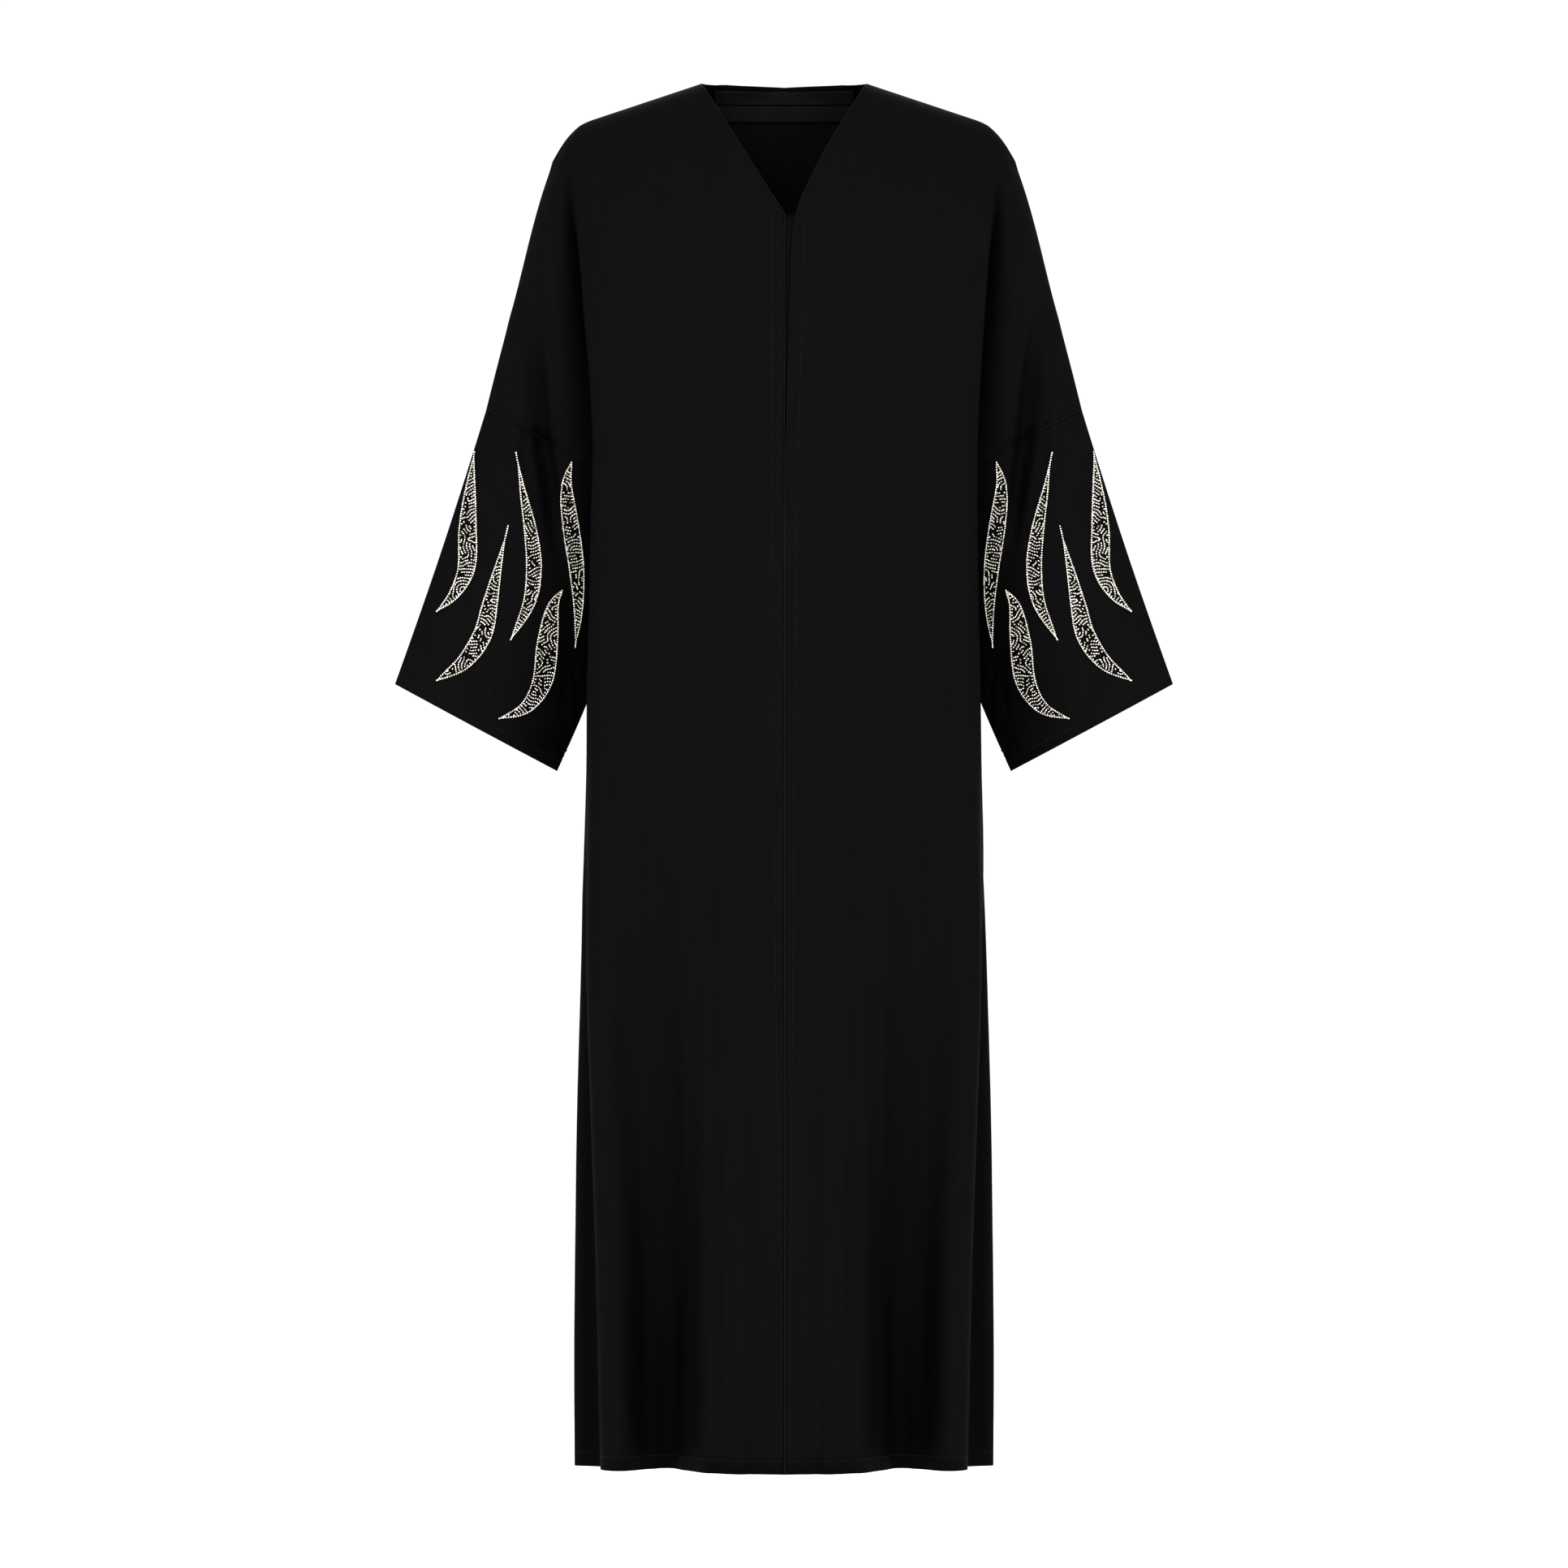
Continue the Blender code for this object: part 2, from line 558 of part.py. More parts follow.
def cloth_material():
    """Black crepe."""
    material = bpy.data.materials.new("black_crepe")
    material.use_nodes = True
    shader = material.node_tree.nodes["Principled BSDF"]
    shader.inputs["Base Color"].default_value = (0.006, 0.006, 0.0065, 1)
    shader.inputs["Roughness"].default_value = 0.75
    return material


garment = start_scene()
crepe = cloth_material()
back_piece = make_back()
make_neck_strip("neck_band", back_piece, NECK_BAND)
make_neck_strip("neck_facing", back_piece, NECK_FACING)
for wearer_side in (1, -1):
    make_front(wearer_side)
    make_sleeve(wearer_side)
make_underlap()
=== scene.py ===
"""Looks of a black open-front abaya: creased crepe panels, its sewing, and beaded leaves on the sleeves.

Metres, +Z up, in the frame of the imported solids. The front faces -Y and the wearer's left is at +X.
"""

import json
import logging
import math
from collections.abc import Iterator
from dataclasses import dataclass, field
from enum import Enum

import bmesh
import bpy
import numpy as np
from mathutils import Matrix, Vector
from mathutils.bvhtree import BVHTree
from mathutils.kdtree import KDTree

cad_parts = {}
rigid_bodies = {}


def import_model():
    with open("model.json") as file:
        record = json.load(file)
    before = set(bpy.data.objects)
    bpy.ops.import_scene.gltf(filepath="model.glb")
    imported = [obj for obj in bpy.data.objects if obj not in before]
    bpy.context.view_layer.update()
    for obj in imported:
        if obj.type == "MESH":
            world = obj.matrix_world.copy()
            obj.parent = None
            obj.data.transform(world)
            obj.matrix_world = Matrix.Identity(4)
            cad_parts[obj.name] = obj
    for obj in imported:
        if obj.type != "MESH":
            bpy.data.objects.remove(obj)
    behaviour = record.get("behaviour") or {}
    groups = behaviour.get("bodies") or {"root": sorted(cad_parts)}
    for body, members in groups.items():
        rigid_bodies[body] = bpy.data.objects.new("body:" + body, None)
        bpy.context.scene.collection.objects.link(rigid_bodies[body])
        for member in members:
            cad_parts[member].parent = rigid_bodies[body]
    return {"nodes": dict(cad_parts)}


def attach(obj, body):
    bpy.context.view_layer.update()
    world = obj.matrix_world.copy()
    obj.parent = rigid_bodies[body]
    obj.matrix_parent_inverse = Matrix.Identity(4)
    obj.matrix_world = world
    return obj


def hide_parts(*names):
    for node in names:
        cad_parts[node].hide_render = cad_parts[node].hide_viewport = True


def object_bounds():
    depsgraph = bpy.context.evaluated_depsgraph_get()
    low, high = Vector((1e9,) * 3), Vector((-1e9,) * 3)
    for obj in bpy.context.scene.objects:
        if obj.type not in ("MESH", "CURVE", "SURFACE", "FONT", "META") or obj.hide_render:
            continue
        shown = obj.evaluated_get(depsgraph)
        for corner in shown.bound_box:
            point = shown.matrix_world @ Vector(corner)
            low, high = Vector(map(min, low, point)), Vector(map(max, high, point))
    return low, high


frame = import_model()
cad_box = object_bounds()

log = logging.getLogger("abaya")

MM = 0.001
MERGE = 0.000001  # vertices of a CAD mesh this close are one
CAD_WALL = 0.0018
HEM_Z = min(corner[2] for corner in cad_box)
STUDIO_FLOOR_Z = -1.60
SAME_SKIN_TURN = math.radians(30)  # faces that meet at less are surely on one skin
ACROSS_WALL = -0.95  # the dot product of normals below which two faces back each other


class Side(Enum):
    """The wearer's left or right, as the sign of X."""

    LEFT = 1
    RIGHT = -1


class Face(Enum):
    """The front or the back of the garment, as the sign of Y."""

    FRONT = -1
    BACK = 1


def smooth_line(points: np.ndarray, count: int) -> np.ndarray:
    """Runs a Catmull-Rom curve through points and samples it evenly.

    Args:
        points: two or more points, one a row.
        count: how many samples to give.

    Returns:
        The samples, one a row, from the first point to the last.
    """
    points = np.asarray(points, float)
    padded = np.vstack([2 * points[0] - points[1], points, 2 * points[-1] - points[-2]])
    fine = []
    for a, b, c, d in zip(padded, padded[1:], padded[2:], padded[3:]):
        t = np.linspace(0, 1, 16, endpoint=False)[:, None]
        curve = 2 * b + (c - a) * t + (2 * a - 5 * b + 4 * c - d) * t**2 + (3 * b - 3 * c + d - a) * t**3
        fine.append(0.5 * curve)
    return evenly(np.vstack([*fine, points[-1]]), count)


def run_along(line: np.ndarray) -> np.ndarray:
    """Gives the distance of each of a polyline's points from its start."""
    return np.concatenate([[0], np.cumsum(np.linalg.norm(np.diff(line, axis=0), axis=1))])


def evenly(line: np.ndarray, count: int) -> np.ndarray:
    """Samples a polyline at even steps of its length.

    Args:
        line: its points, one a row.
        count: how many samples to give.

    Returns:
        The samples, one a row.
    """
    lengths = run_along(line)
    at = np.linspace(0, lengths[-1], count)
    return np.stack([np.interp(at, lengths, line[:, i]) for i in range(line.shape[1])], axis=1)


def smoothstep(t: np.ndarray) -> np.ndarray:
    """0 to 1 with level ends."""
    t = np.clip(t, 0, 1)
    return t * t * (3 - 2 * t)


def laid(
    points: np.ndarray, normals: np.ndarray, places: np.ndarray, reach: float
) -> Iterator[tuple[np.ndarray, np.ndarray, np.ndarray]]:
    """Lays short forms end to end on a line on the cloth.

    Args:
        points: the line's points.
        normals: the cloth's normals there.
        places: how far along the line each form's middle is.
        reach: half a form's length.

    Yields:
        For each form its middle, the way that it lies, and the cloth's unit normal.
    """
    lengths = run_along(points)
    for place in places:
        ends = np.array([[np.interp(place + d, lengths, axis) for axis in points.T] for d in (-reach, reach)])
        up = np.array([np.interp(place, lengths, axis) for axis in normals.T])
        up /= max(np.linalg.norm(up), MERGE)
        yield ends.mean(axis=0), ends[1] - ends[0], up


def opened(mesh: bpy.types.Mesh) -> bmesh.types.BMesh:
    """Copies a mesh for editing, with its normals and numbers up to date."""
    bm = bmesh.new()
    bm.from_mesh(mesh)
    bm.normal_update()
    return bm


def take_chain(edges: set[bmesh.types.BMEdge]) -> list[bmesh.types.BMVert]:
    """Takes one chain of joined edges out of a set, from the end with the lowest number.

    Args:
        edges: the edges that are left, from which the chain's are removed.

    Returns:
        The chain's vertices in order.
    """

    def is_end(vert: bmesh.types.BMVert) -> bool:
        """Tells whether only one of the edges is left at a vertex."""
        return sum(1 for edge in vert.link_edges if edge in edges) == 1

    ordered = sorted(edges, key=lambda edge: edge.index)
    edge = next((edge for edge in ordered if any(map(is_end, edge.verts))), ordered[0])
    chain = [next(filter(is_end, edge.verts), edge.verts[0])]
    while edge is not None:
        edges.discard(edge)
        chain.append(edge.other_vert(chain[-1]))
        edge = next((e for e in chain[-1].link_edges if e in edges), None)
    return chain


def link(name: str, mesh: bpy.types.Mesh, material: bpy.types.Material) -> bpy.types.Object:
    """Puts a mesh in the scene at the origin.

    Args:
        name: the object's name.
        mesh: its mesh.
        material: its only material.

    Returns:
        The new object, shaded smooth.
    """
    mesh.name = name
    mesh.materials.clear()
    mesh.materials.append(material)
    mesh.shade_smooth()
    obj = bpy.data.objects.new(name, mesh)
    bpy.context.scene.collection.objects.link(obj)
    return obj


def evaluated(obj: bpy.types.Object) -> bpy.types.Mesh:
    """Applies an object's modifiers and removes the object.

    Args:
        obj: a mesh object.

    Returns:
        The mesh as its modifiers leave it.
    """
    bpy.context.view_layer.update()
    mesh = bpy.data.meshes.new_from_object(obj.evaluated_get(bpy.context.evaluated_depsgraph_get()))
    bpy.data.objects.remove(obj)
    return mesh


class NodeBuilder:
    """Adds and joins the shader nodes of one material or world."""

    def __init__(self, owner: bpy.types.Material | bpy.types.World) -> None:
        """Starts on an owner's emptied node tree."""
        owner.use_nodes = True
        self.tree = owner.node_tree
        self.tree.nodes.clear()

    def add(self, kind: str, inputs: dict | None = None, **settings) -> bpy.types.Node:
        """Adds one node.

        Args:
            kind: the node's type.
            inputs: values, or sockets to join, by the input's name or number.
            settings: the node's own properties.

        Returns:
            The node.
        """
        node = self.tree.nodes.new(kind)
        for key, value in settings.items():
            setattr(node, key, value)
        for key, value in (inputs or {}).items():
            if isinstance(value, bpy.types.NodeSocket):
                self.tree.links.new(value, node.inputs[key])
            else:
                node.inputs[key].default_value = value
        return node

    def ramp(self, value: bpy.types.NodeSocket, stops: list[tuple[float, tuple]]) -> bpy.types.NodeSocket:
        """Turns a value into a colour.

        Args:
            value: the socket to read.
            stops: places from 0 to 1 and the colours there.

        Returns:
            The colour's socket.
        """
        node = self.add("ShaderNodeValToRGB", {"Fac": value})
        for (place, colour), element in zip(stops, node.color_ramp.elements[:2]):
            element.position = place
            element.color = (*colour, 1)
        for place, colour in stops[2:]:
            node.color_ramp.elements.new(place).color = (*colour, 1)
        return node.outputs["Color"]

    def spread(self, value: bpy.types.NodeSocket, low: float, high: float) -> bpy.types.NodeSocket:
        """Maps a value from 0 to 1 onto low to high."""
        inputs = {"Value": value, "To Min": low, "To Max": high}
        return self.add("ShaderNodeMapRange", inputs).outputs["Result"]

    def surface(self, inputs: dict) -> None:
        """Makes a general shader with these inputs the output's surface."""
        shader = self.add("ShaderNodeBsdfPrincipled", inputs)
        self.add("ShaderNodeOutputMaterial", {"Surface": shader.outputs[0]})


@dataclass(frozen=True)
class Crepe:
    """Matt black crepe: a pebbled grain, a faint slub, and painted shade in its hollows that darkens the
    colour more towards the hem.
    """

    name: str = "crepe"
    dark: tuple[float, float, float] = (0.0023, 0.0023, 0.0023)
    light: tuple[float, float, float] = (0.0027, 0.0027, 0.0027)
    grain_size: float = 0.00055
    grain_height: float = 0.00004
    slub_size: float = 0.006
    painted_shade_reach: float = 0.16
    painted_shade_power: tuple[float, float] = (0.9, 5.5)  # how strongly the painted shade darkens a hollow, at the neck and at the hem

    def make(self) -> bpy.types.Material:
        """Gives the material."""
        material = bpy.data.materials.new(self.name)
        nodes = NodeBuilder(material)
        place = nodes.add("ShaderNodeTexCoord").outputs["Object"]
        grain = nodes.add(
            "ShaderNodeTexVoronoi", {"Vector": place, "Scale": 1 / self.grain_size}, feature="SMOOTH_F1"
        ).outputs["Distance"]
        long_ways = nodes.add("ShaderNodeMapping", {"Vector": place, "Scale": (1, 1, 0.12)}).outputs["Vector"]
        slub = nodes.add(
            "ShaderNodeTexNoise", {"Vector": long_ways, "Scale": 1 / self.slub_size, "Detail": 4.0}
        ).outputs["Fac"]
        colour = nodes.ramp(slub, [(0.3, self.dark), (0.7, self.light)])
        # Painted shade: ambient occlusion darkens the base colour in hollows, the more so the lower the cloth
        # hangs.
        painted_occlusion = nodes.add("ShaderNodeAmbientOcclusion", {"Distance": self.painted_shade_reach}, samples=3)
        height = nodes.add("ShaderNodeSeparateXYZ", {"Vector": place}).outputs["Z"]
        at_neck, at_hem = self.painted_shade_power
        down = nodes.add("ShaderNodeMath", {0: height, 1: HEM_Z}, operation="DIVIDE").outputs["Value"]
        late = nodes.add("ShaderNodeMath", {0: down, 1: down}, operation="MULTIPLY").outputs["Value"]
        power = nodes.spread(late, at_neck, at_hem)
        painted_shade_factor = nodes.add(
            "ShaderNodeMath", {0: painted_occlusion.outputs["AO"], 1: power}, operation="POWER"
        ).outputs["Value"]
        left = {0: colour, "Scale": painted_shade_factor}
        colour = nodes.add("ShaderNodeVectorMath", left, operation="SCALE").outputs["Vector"]
        both = nodes.add("ShaderNodeMath", {0: grain, 1: slub}, operation="ADD").outputs["Value"]
        bump = nodes.add("ShaderNodeBump", {"Height": both, "Strength": 0.5, "Distance": self.grain_height})
        nodes.surface(
            {
                "Base Color": colour,
                "Roughness": nodes.spread(slub, 0.72, 0.84),
                "Normal": bump.outputs["Normal"],
                "Specular IOR Level": 0.012,
                "Sheen Weight": 0.0015,
                "Sheen Roughness": 0.6,
                "Sheen Tint": (1.0, 1.0, 1.0, 1.0),
            }
        )
        return material


@dataclass(frozen=True)
class Thread:
    """Black polyester sewing thread, a little glossier than the cloth."""

    name: str = "thread"
    colour: tuple[float, float, float] = (0.0085, 0.0085, 0.0085)
    ply_size: float = 0.0004

    def make(self) -> bpy.types.Material:
        """Gives the material."""
        material = bpy.data.materials.new(self.name)
        nodes = NodeBuilder(material)
        place = nodes.add("ShaderNodeTexCoord").outputs["Object"]
        ply = nodes.add("ShaderNodeTexNoise", {"Vector": place, "Scale": 1 / self.ply_size}).outputs["Fac"]
        dark = tuple(0.55 * c for c in self.colour)
        bump = nodes.add("ShaderNodeBump", {"Height": ply, "Strength": 0.4, "Distance": 0.1 * MM})
        nodes.surface(
            {
                "Base Color": nodes.ramp(ply, [(0.3, dark), (0.7, self.colour)]),
                "Roughness": 0.5,
                "Normal": bump.outputs["Normal"],
                "Specular IOR Level": 0.12,
            }
        )
        return material


@dataclass(frozen=True)
class BeadSilver:
    """Silver-lined glass: each bead a little warmer, cooler, brighter or duller than its neighbours."""

    name: str = "silver_lined_glass"
    dull: tuple[float, float, float] = (0.42, 0.39, 0.33)
    warm: tuple[float, float, float] = (0.86, 0.80, 0.69)
    bright: tuple[float, float, float] = (1.0, 0.99, 0.95)
    bead_size: float = 0.0024

    def make(self) -> bpy.types.Material:
        """Gives the material."""
        material = bpy.data.materials.new(self.name)
        nodes = NodeBuilder(material)
        place = nodes.add("ShaderNodeTexCoord").outputs["Object"]
        cell = nodes.add("ShaderNodeTexVoronoi", {"Vector": place, "Scale": 1 / self.bead_size})
        tone = nodes.add("ShaderNodeSeparateColor", {"Color": cell.outputs["Color"]}).outputs
        facets = nodes.add("ShaderNodeTexVoronoi", {"Vector": place, "Scale": 1100.0}).outputs["Distance"]
        bump = nodes.add("ShaderNodeBump", {"Height": facets, "Strength": 0.5, "Distance": 0.2 * MM})
        nodes.surface(
            {
                "Base Color": nodes.ramp(tone[0], [(0.0, self.dull), (1.0, self.bright), (0.35, self.warm)]),
                "Metallic": 1.0,
                "Roughness": nodes.spread(tone[1], 0.14, 0.38),
                "Normal": bump.outputs["Normal"],
                "Coat Weight": 0.4,
                "Coat Roughness": 0.08,
            }
        )
        return material


@dataclass(frozen=True)
class StudioPaper:
    """White seamless paper under the garment."""

    name: str = "studio_paper"
    colour: tuple[float, float, float] = (0.94, 0.94, 0.94)
    glow: float = 0.5  # stands for the light that a lit studio's walls send onto it

    def make(self) -> bpy.types.Material:
        """Gives the material."""
        material = bpy.data.materials.new(self.name)
        nodes = NodeBuilder(material)
        place = nodes.add("ShaderNodeTexCoord").outputs["Object"]
        mottle = nodes.add("ShaderNodeTexNoise", {"Vector": place, "Scale": 3.0}).outputs["Fac"]
        faint = tuple(0.985 * c for c in self.colour)
        colour = nodes.ramp(mottle, [(0.3, faint), (0.7, self.colour)])
        nodes.surface(
            {
                "Base Color": colour,
                "Roughness": 0.9,
                "Emission Color": (1.0, 1.0, 1.0, 1.0),
                "Emission Strength": self.glow,
            }
        )
        return material


@dataclass(frozen=True)
class Fold:
    """A soft trough drawn on the front or back view, from points of X and Z at the wearer's left.

    A negative depth makes it a ridge. It fades in and out over its own end lengths.
    """

    points: tuple[tuple[float, float], ...]
    half_width: float
    depth: float
    fade_in: float = 0.08
    fade_out: float = 0.08

    def sink(self, places: np.ndarray) -> np.ndarray:
        """Works out how far the cloth sinks.

        Args:
            places: X and Z of each point of the cloth.

        Returns:
            The depth at each point.
        """
        line = smooth_line(np.array(self.points), 60)
        run = run_along(line)
        gaps = np.linalg.norm(places[:, None, :] - line[None, :, :], axis=2)
        nearest = gaps.argmin(axis=1)
        along = run[nearest]
        share = np.clip(gaps[np.arange(len(places)), nearest] / self.half_width, 0, 1)
        ends = smoothstep(along / self.fade_in) * smoothstep((run[-1] - along) / self.fade_out)
        return self.depth * (1 - share**2) ** 2 * ends


class SkinSplit:
    """Sorts the faces of a walled solid into its two skins.

    Neighbours are on the same skin and faces across the wall on different ones. The surest pairs are
    joined first, so that a rim falls to either skin without joining them.
    """

    def __init__(self, bm: bmesh.types.BMesh) -> None:
        """Starts with each face by itself."""
        self.bm = bm
        bm.faces.ensure_lookup_table()
        bm.faces.index_update()
        self.parent = list(range(len(bm.faces)))
        self.turned = [1] * len(bm.faces)

    def root(self, number: int) -> tuple[int, int]:
        """Finds a face's group.

        Args:
            number: the face's.

        Returns:
            The number of the group's first face, and 1 if both are on the same skin or else -1.
        """
        turned = 1
        while self.parent[number] != number:
            turned *= self.turned[number]
            number = self.parent[number]
        return number, turned

    def join(self, a: int, b: int, same: int) -> None:
        """Joins two faces' groups.

        Args:
            a: one face's number.
            b: the other's.
            same: 1 if they are on the same skin or else -1.
        """
        root_a, turned_a = self.root(a)
        root_b, turned_b = self.root(b)
        if root_a != root_b:
            self.parent[root_a] = root_b
            self.turned[root_a] = turned_a * turned_b * same

    def sides(self) -> list[int]:
        """Sorts the faces.

        Returns:
            1 or -1 for each face, which tells the skins apart.
        """
        pairs = [
            (edge.calc_face_angle(), edge.link_faces[0].index, edge.link_faces[1].index)
            for edge in self.bm.edges
            if len(edge.link_faces) == 2
        ]
        pairs.sort()
        for angle, a, b in pairs:
            if angle < SAME_SKIN_TURN:
                self.join(a, b, 1)
        tree = BVHTree.FromBMesh(self.bm)
        for face in self.bm.faces:
            start = face.calc_center_median() - face.normal * MERGE * 10
            _, normal, other, through = tree.ray_cast(start, -face.normal)
            if other is not None and through < 2 * CAD_WALL and normal.dot(face.normal) < ACROSS_WALL:
                self.join(face.index, other, -1)
        for _, a, b in pairs:
            self.join(a, b, 1)
        return [self.root(number)[1] for number in range(len(self.parent))]


# X and Z of the sleeve's seam at the wearer's left: its underarm and overarm ends
ARM_SEAM = ((0.1430, -0.4200), (0.3045, -0.3350))
SLEEVE_HEM = ((0.2315, -0.7015), (0.3970, -0.6127))  # X and Z of its underarm and overarm ends


@dataclass
class ClothPiece:
    """One cut piece of crepe: the outer skin of its CAD solid, made finer, creased and given thickness."""

    node: str
    flat: tuple[float, float]
    area: float
    detail: int = 2
    thickness: float = 0.0008
    facing: Face | None = None
    corners_above: float = -0.3
    corner_turn: float = math.radians(25)
    folds: dict[tuple[Side, Face], tuple[Fold, ...]] = field(default_factory=dict)
    skin: bpy.types.Mesh | None = None
    tree: BVHTree | None = None

    def outer_skin(self) -> bmesh.types.BMesh:
        """Takes the outer skin from a merged copy of the CAD node, as quads.

        Returns:
            The skin, open where the solid has its rims.
        """
        bm = bmesh.new()
        bm.from_mesh(frame["nodes"][self.node].data)
        bmesh.ops.remove_doubles(bm, verts=bm.verts, dist=MERGE)
        bm.normal_update()
        sides = SkinSplit(bm).sides()
        outward = {-1: 0.0, 1: 0.0}
        for face in bm.faces:
            way = self.looks(face)
            outward[way] += sides[face.index] * face.calc_area() * face.normal.y * way
        outward = {way: math.copysign(1, total) for way, total in outward.items()}
        belongs = {}
        for vert in bm.verts:
            votes = (sides[f.index] * f.calc_area() * outward[self.looks(f)] for f in vert.link_faces)
            belongs[vert] = sum(votes) > 0
        spare = [face for face in bm.faces if not all(belongs[vert] for vert in face.verts)]
        bmesh.ops.delete(bm, geom=spare, context="FACES")
        bmesh.ops.join_triangles(
            bm, faces=bm.faces, angle_face_threshold=math.pi, angle_shape_threshold=math.pi
        )
        return bm

    def looks(self, face: bmesh.types.BMFace) -> float:
        """Gives the way along Y in which a face of the outer skin looks."""
        if self.facing is not None:
            return self.facing.value
        return math.copysign(1, face.calc_center_median().y)

    def sharpen(self, bm: bmesh.types.BMesh) -> None:
        """Marks what stays sharp when the skin is made finer: the corners of the neck and the opening."""
        layer = bm.verts.layers.float.new("crease_vert")
        for vert in bm.verts:
            rim = [edge for edge in vert.link_edges if edge.is_boundary]
            if len(rim) == 2 and vert.co.z > self.corners_above and abs(vert.co.y) > CAD_WALL:
                ways = [(edge.other_vert(vert).co - vert.co) for edge in rim]
                if ways[0].angle(ways[1]) < math.pi - self.corner_turn:
                    vert[layer] = 1.0

    def finer(self, bm: bmesh.types.BMesh) -> bpy.types.Mesh:
        """Subdivides the skin smoothly.

        Args:
            bm: the coarse skin, which is freed.

        Returns:
            The fine skin.
        """
        coarse = bpy.data.meshes.new(self.node)
        bm.to_mesh(coarse)
        bm.free()
        draft = bpy.data.objects.new(self.node + "_draft", coarse)
        bpy.context.scene.collection.objects.link(draft)
        smooth = draft.modifiers.new("smooth", "SUBSURF")
        smooth.levels = self.detail
        smooth.render_levels = self.detail
        smooth.boundary_smooth = "PRESERVE_CORNERS"
        return evaluated(draft)

    def crease(self) -> None:
        """Sinks the folds into the skin along its normals."""
        count = len(self.skin.vertices)
        co = np.empty(count * 3)
        self.skin.vertices.foreach_get("co", co)
        co = co.reshape(-1, 3)
        normals = np.empty(count * 3)
        self.skin.vertex_normals.foreach_get("vector", normals)
        normals = normals.reshape(-1, 3)
        sunk = np.zeros(count)
        for (side, face), folds in self.folds.items():
            here = np.flatnonzero((co[:, 0] * side.value >= 0) & (co[:, 1] * face.value >= 0))
            places = co[here][:, (0, 2)] * (side.value, 1)
            for fold in folds:
                sunk[here] += fold.sink(places)
        co -= normals * sunk[:, None]
        self.skin.vertices.foreach_set("co", co.ravel())
        self.skin.update()

    def build(self, material: bpy.types.Material) -> None:
        """Makes the piece and has it stand for its CAD node.

        Args:
            material: the cloth.
        """
        bm = self.outer_skin()
        odd = sum(1 for face in bm.faces if len(face.verts) == 3)
        self.sharpen(bm)
        self.skin = self.finer(bm)
        self.crease()
        corners = [tuple(polygon.vertices) for polygon in self.skin.polygons]
        self.tree = BVHTree.FromPolygons([vert.co for vert in self.skin.vertices], corners)
        draft = link(self.node + "_cloth_draft", self.skin.copy(), material)
        wall = draft.modifiers.new("wall", "SOLIDIFY")
        wall.thickness = self.thickness
        wall.offset = -1
        piece = link(self.node + "_cloth", evaluated(draft), material)
        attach(piece, "root")
        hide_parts(self.node)
        area = sum(polygon.area for polygon in self.skin.polygons)
        log.info("%s: %d faces, %d odd triangles, %.4f m2", self.node, len(self.skin.polygons), odd, area)

    def seen_from(self, x: float, z: float, face: Face) -> tuple[np.ndarray, np.ndarray] | None:
        """Finds the outer skin at a place of the front or back view.

        Args:
            x: across.
            z: up.
            face: the side that the garment is seen from.

        Returns:
            The point and its outward normal, or None where the piece doesn't show.
        """
        start = Vector((x, face.value, z))
        point, normal, _, _ = self.tree.ray_cast(start, Vector((0, -face.value, 0)))
        if point is None:
            return None
        if normal.y * face.value < 0:
            normal = -normal
        return np.array(point), np.array(normal)


@dataclass
class LowerSleeve(ClothPiece):
    """A lower sleeve, whose underarm and overarm edges stay sharp."""

    flat_at: float = 0.0003  # a point this close to Y = 0 lies on one of those edges
    allowance: float = 0.008  # how far its seam allowance runs up inside the arm above
    tuck: float = 0.0009  # how far inside it lies
    turn: float = 0.0015  # the height over which it turns inside
    rim_reach: float = 0.01  # how far from the seam's line its rim may lie

    def sharpen(self, bm: bmesh.types.BMesh) -> None:
        """Creases the two long edges."""
        layer = bm.edges.layers.float.new("crease_edge")
        for edge in bm.edges:
            if all(abs(vert.co.y) < self.flat_at for vert in edge.verts):
                edge[layer] = 1.0

    def crease(self) -> None:
        """Sinks the folds, then turns the seam allowance up inside the arm."""
        super().crease()
        bm = opened(self.skin)
        inner, outer = ARM_SEAM
        side = math.copysign(1, next(iter(bm.verts)).co.x)
        start = Vector((inner[0] * side, 0, inner[1]))
        up_arm = Vector((inner[1] - outer[1], 0, (outer[0] - inner[0]) * side)).normalized()
        up_arm *= math.copysign(1, up_arm.z)
        rim = [
            edge
            for edge in bm.edges
            if edge.is_boundary
            and all(abs((vert.co - start).dot(up_arm)) < self.rim_reach for vert in edge.verts)
        ]
        inward = {vert.co.to_tuple(7): -vert.normal for edge in rim for vert in edge.verts}
        for rise, tuck in ((self.turn, self.tuck), (self.allowance, 0)):
            grown = bmesh.ops.extrude_edge_only(bm, edges=rim)["geom"]
            rim = [item for item in grown if isinstance(item, bmesh.types.BMEdge)]
            for vert in {vert for edge in rim for vert in edge.verts}:
                if tuck:
                    vert.co += inward[vert.co.to_tuple(7)] * tuck
                vert.co += up_arm * rise
        bm.to_mesh(self.skin)
        bm.free()


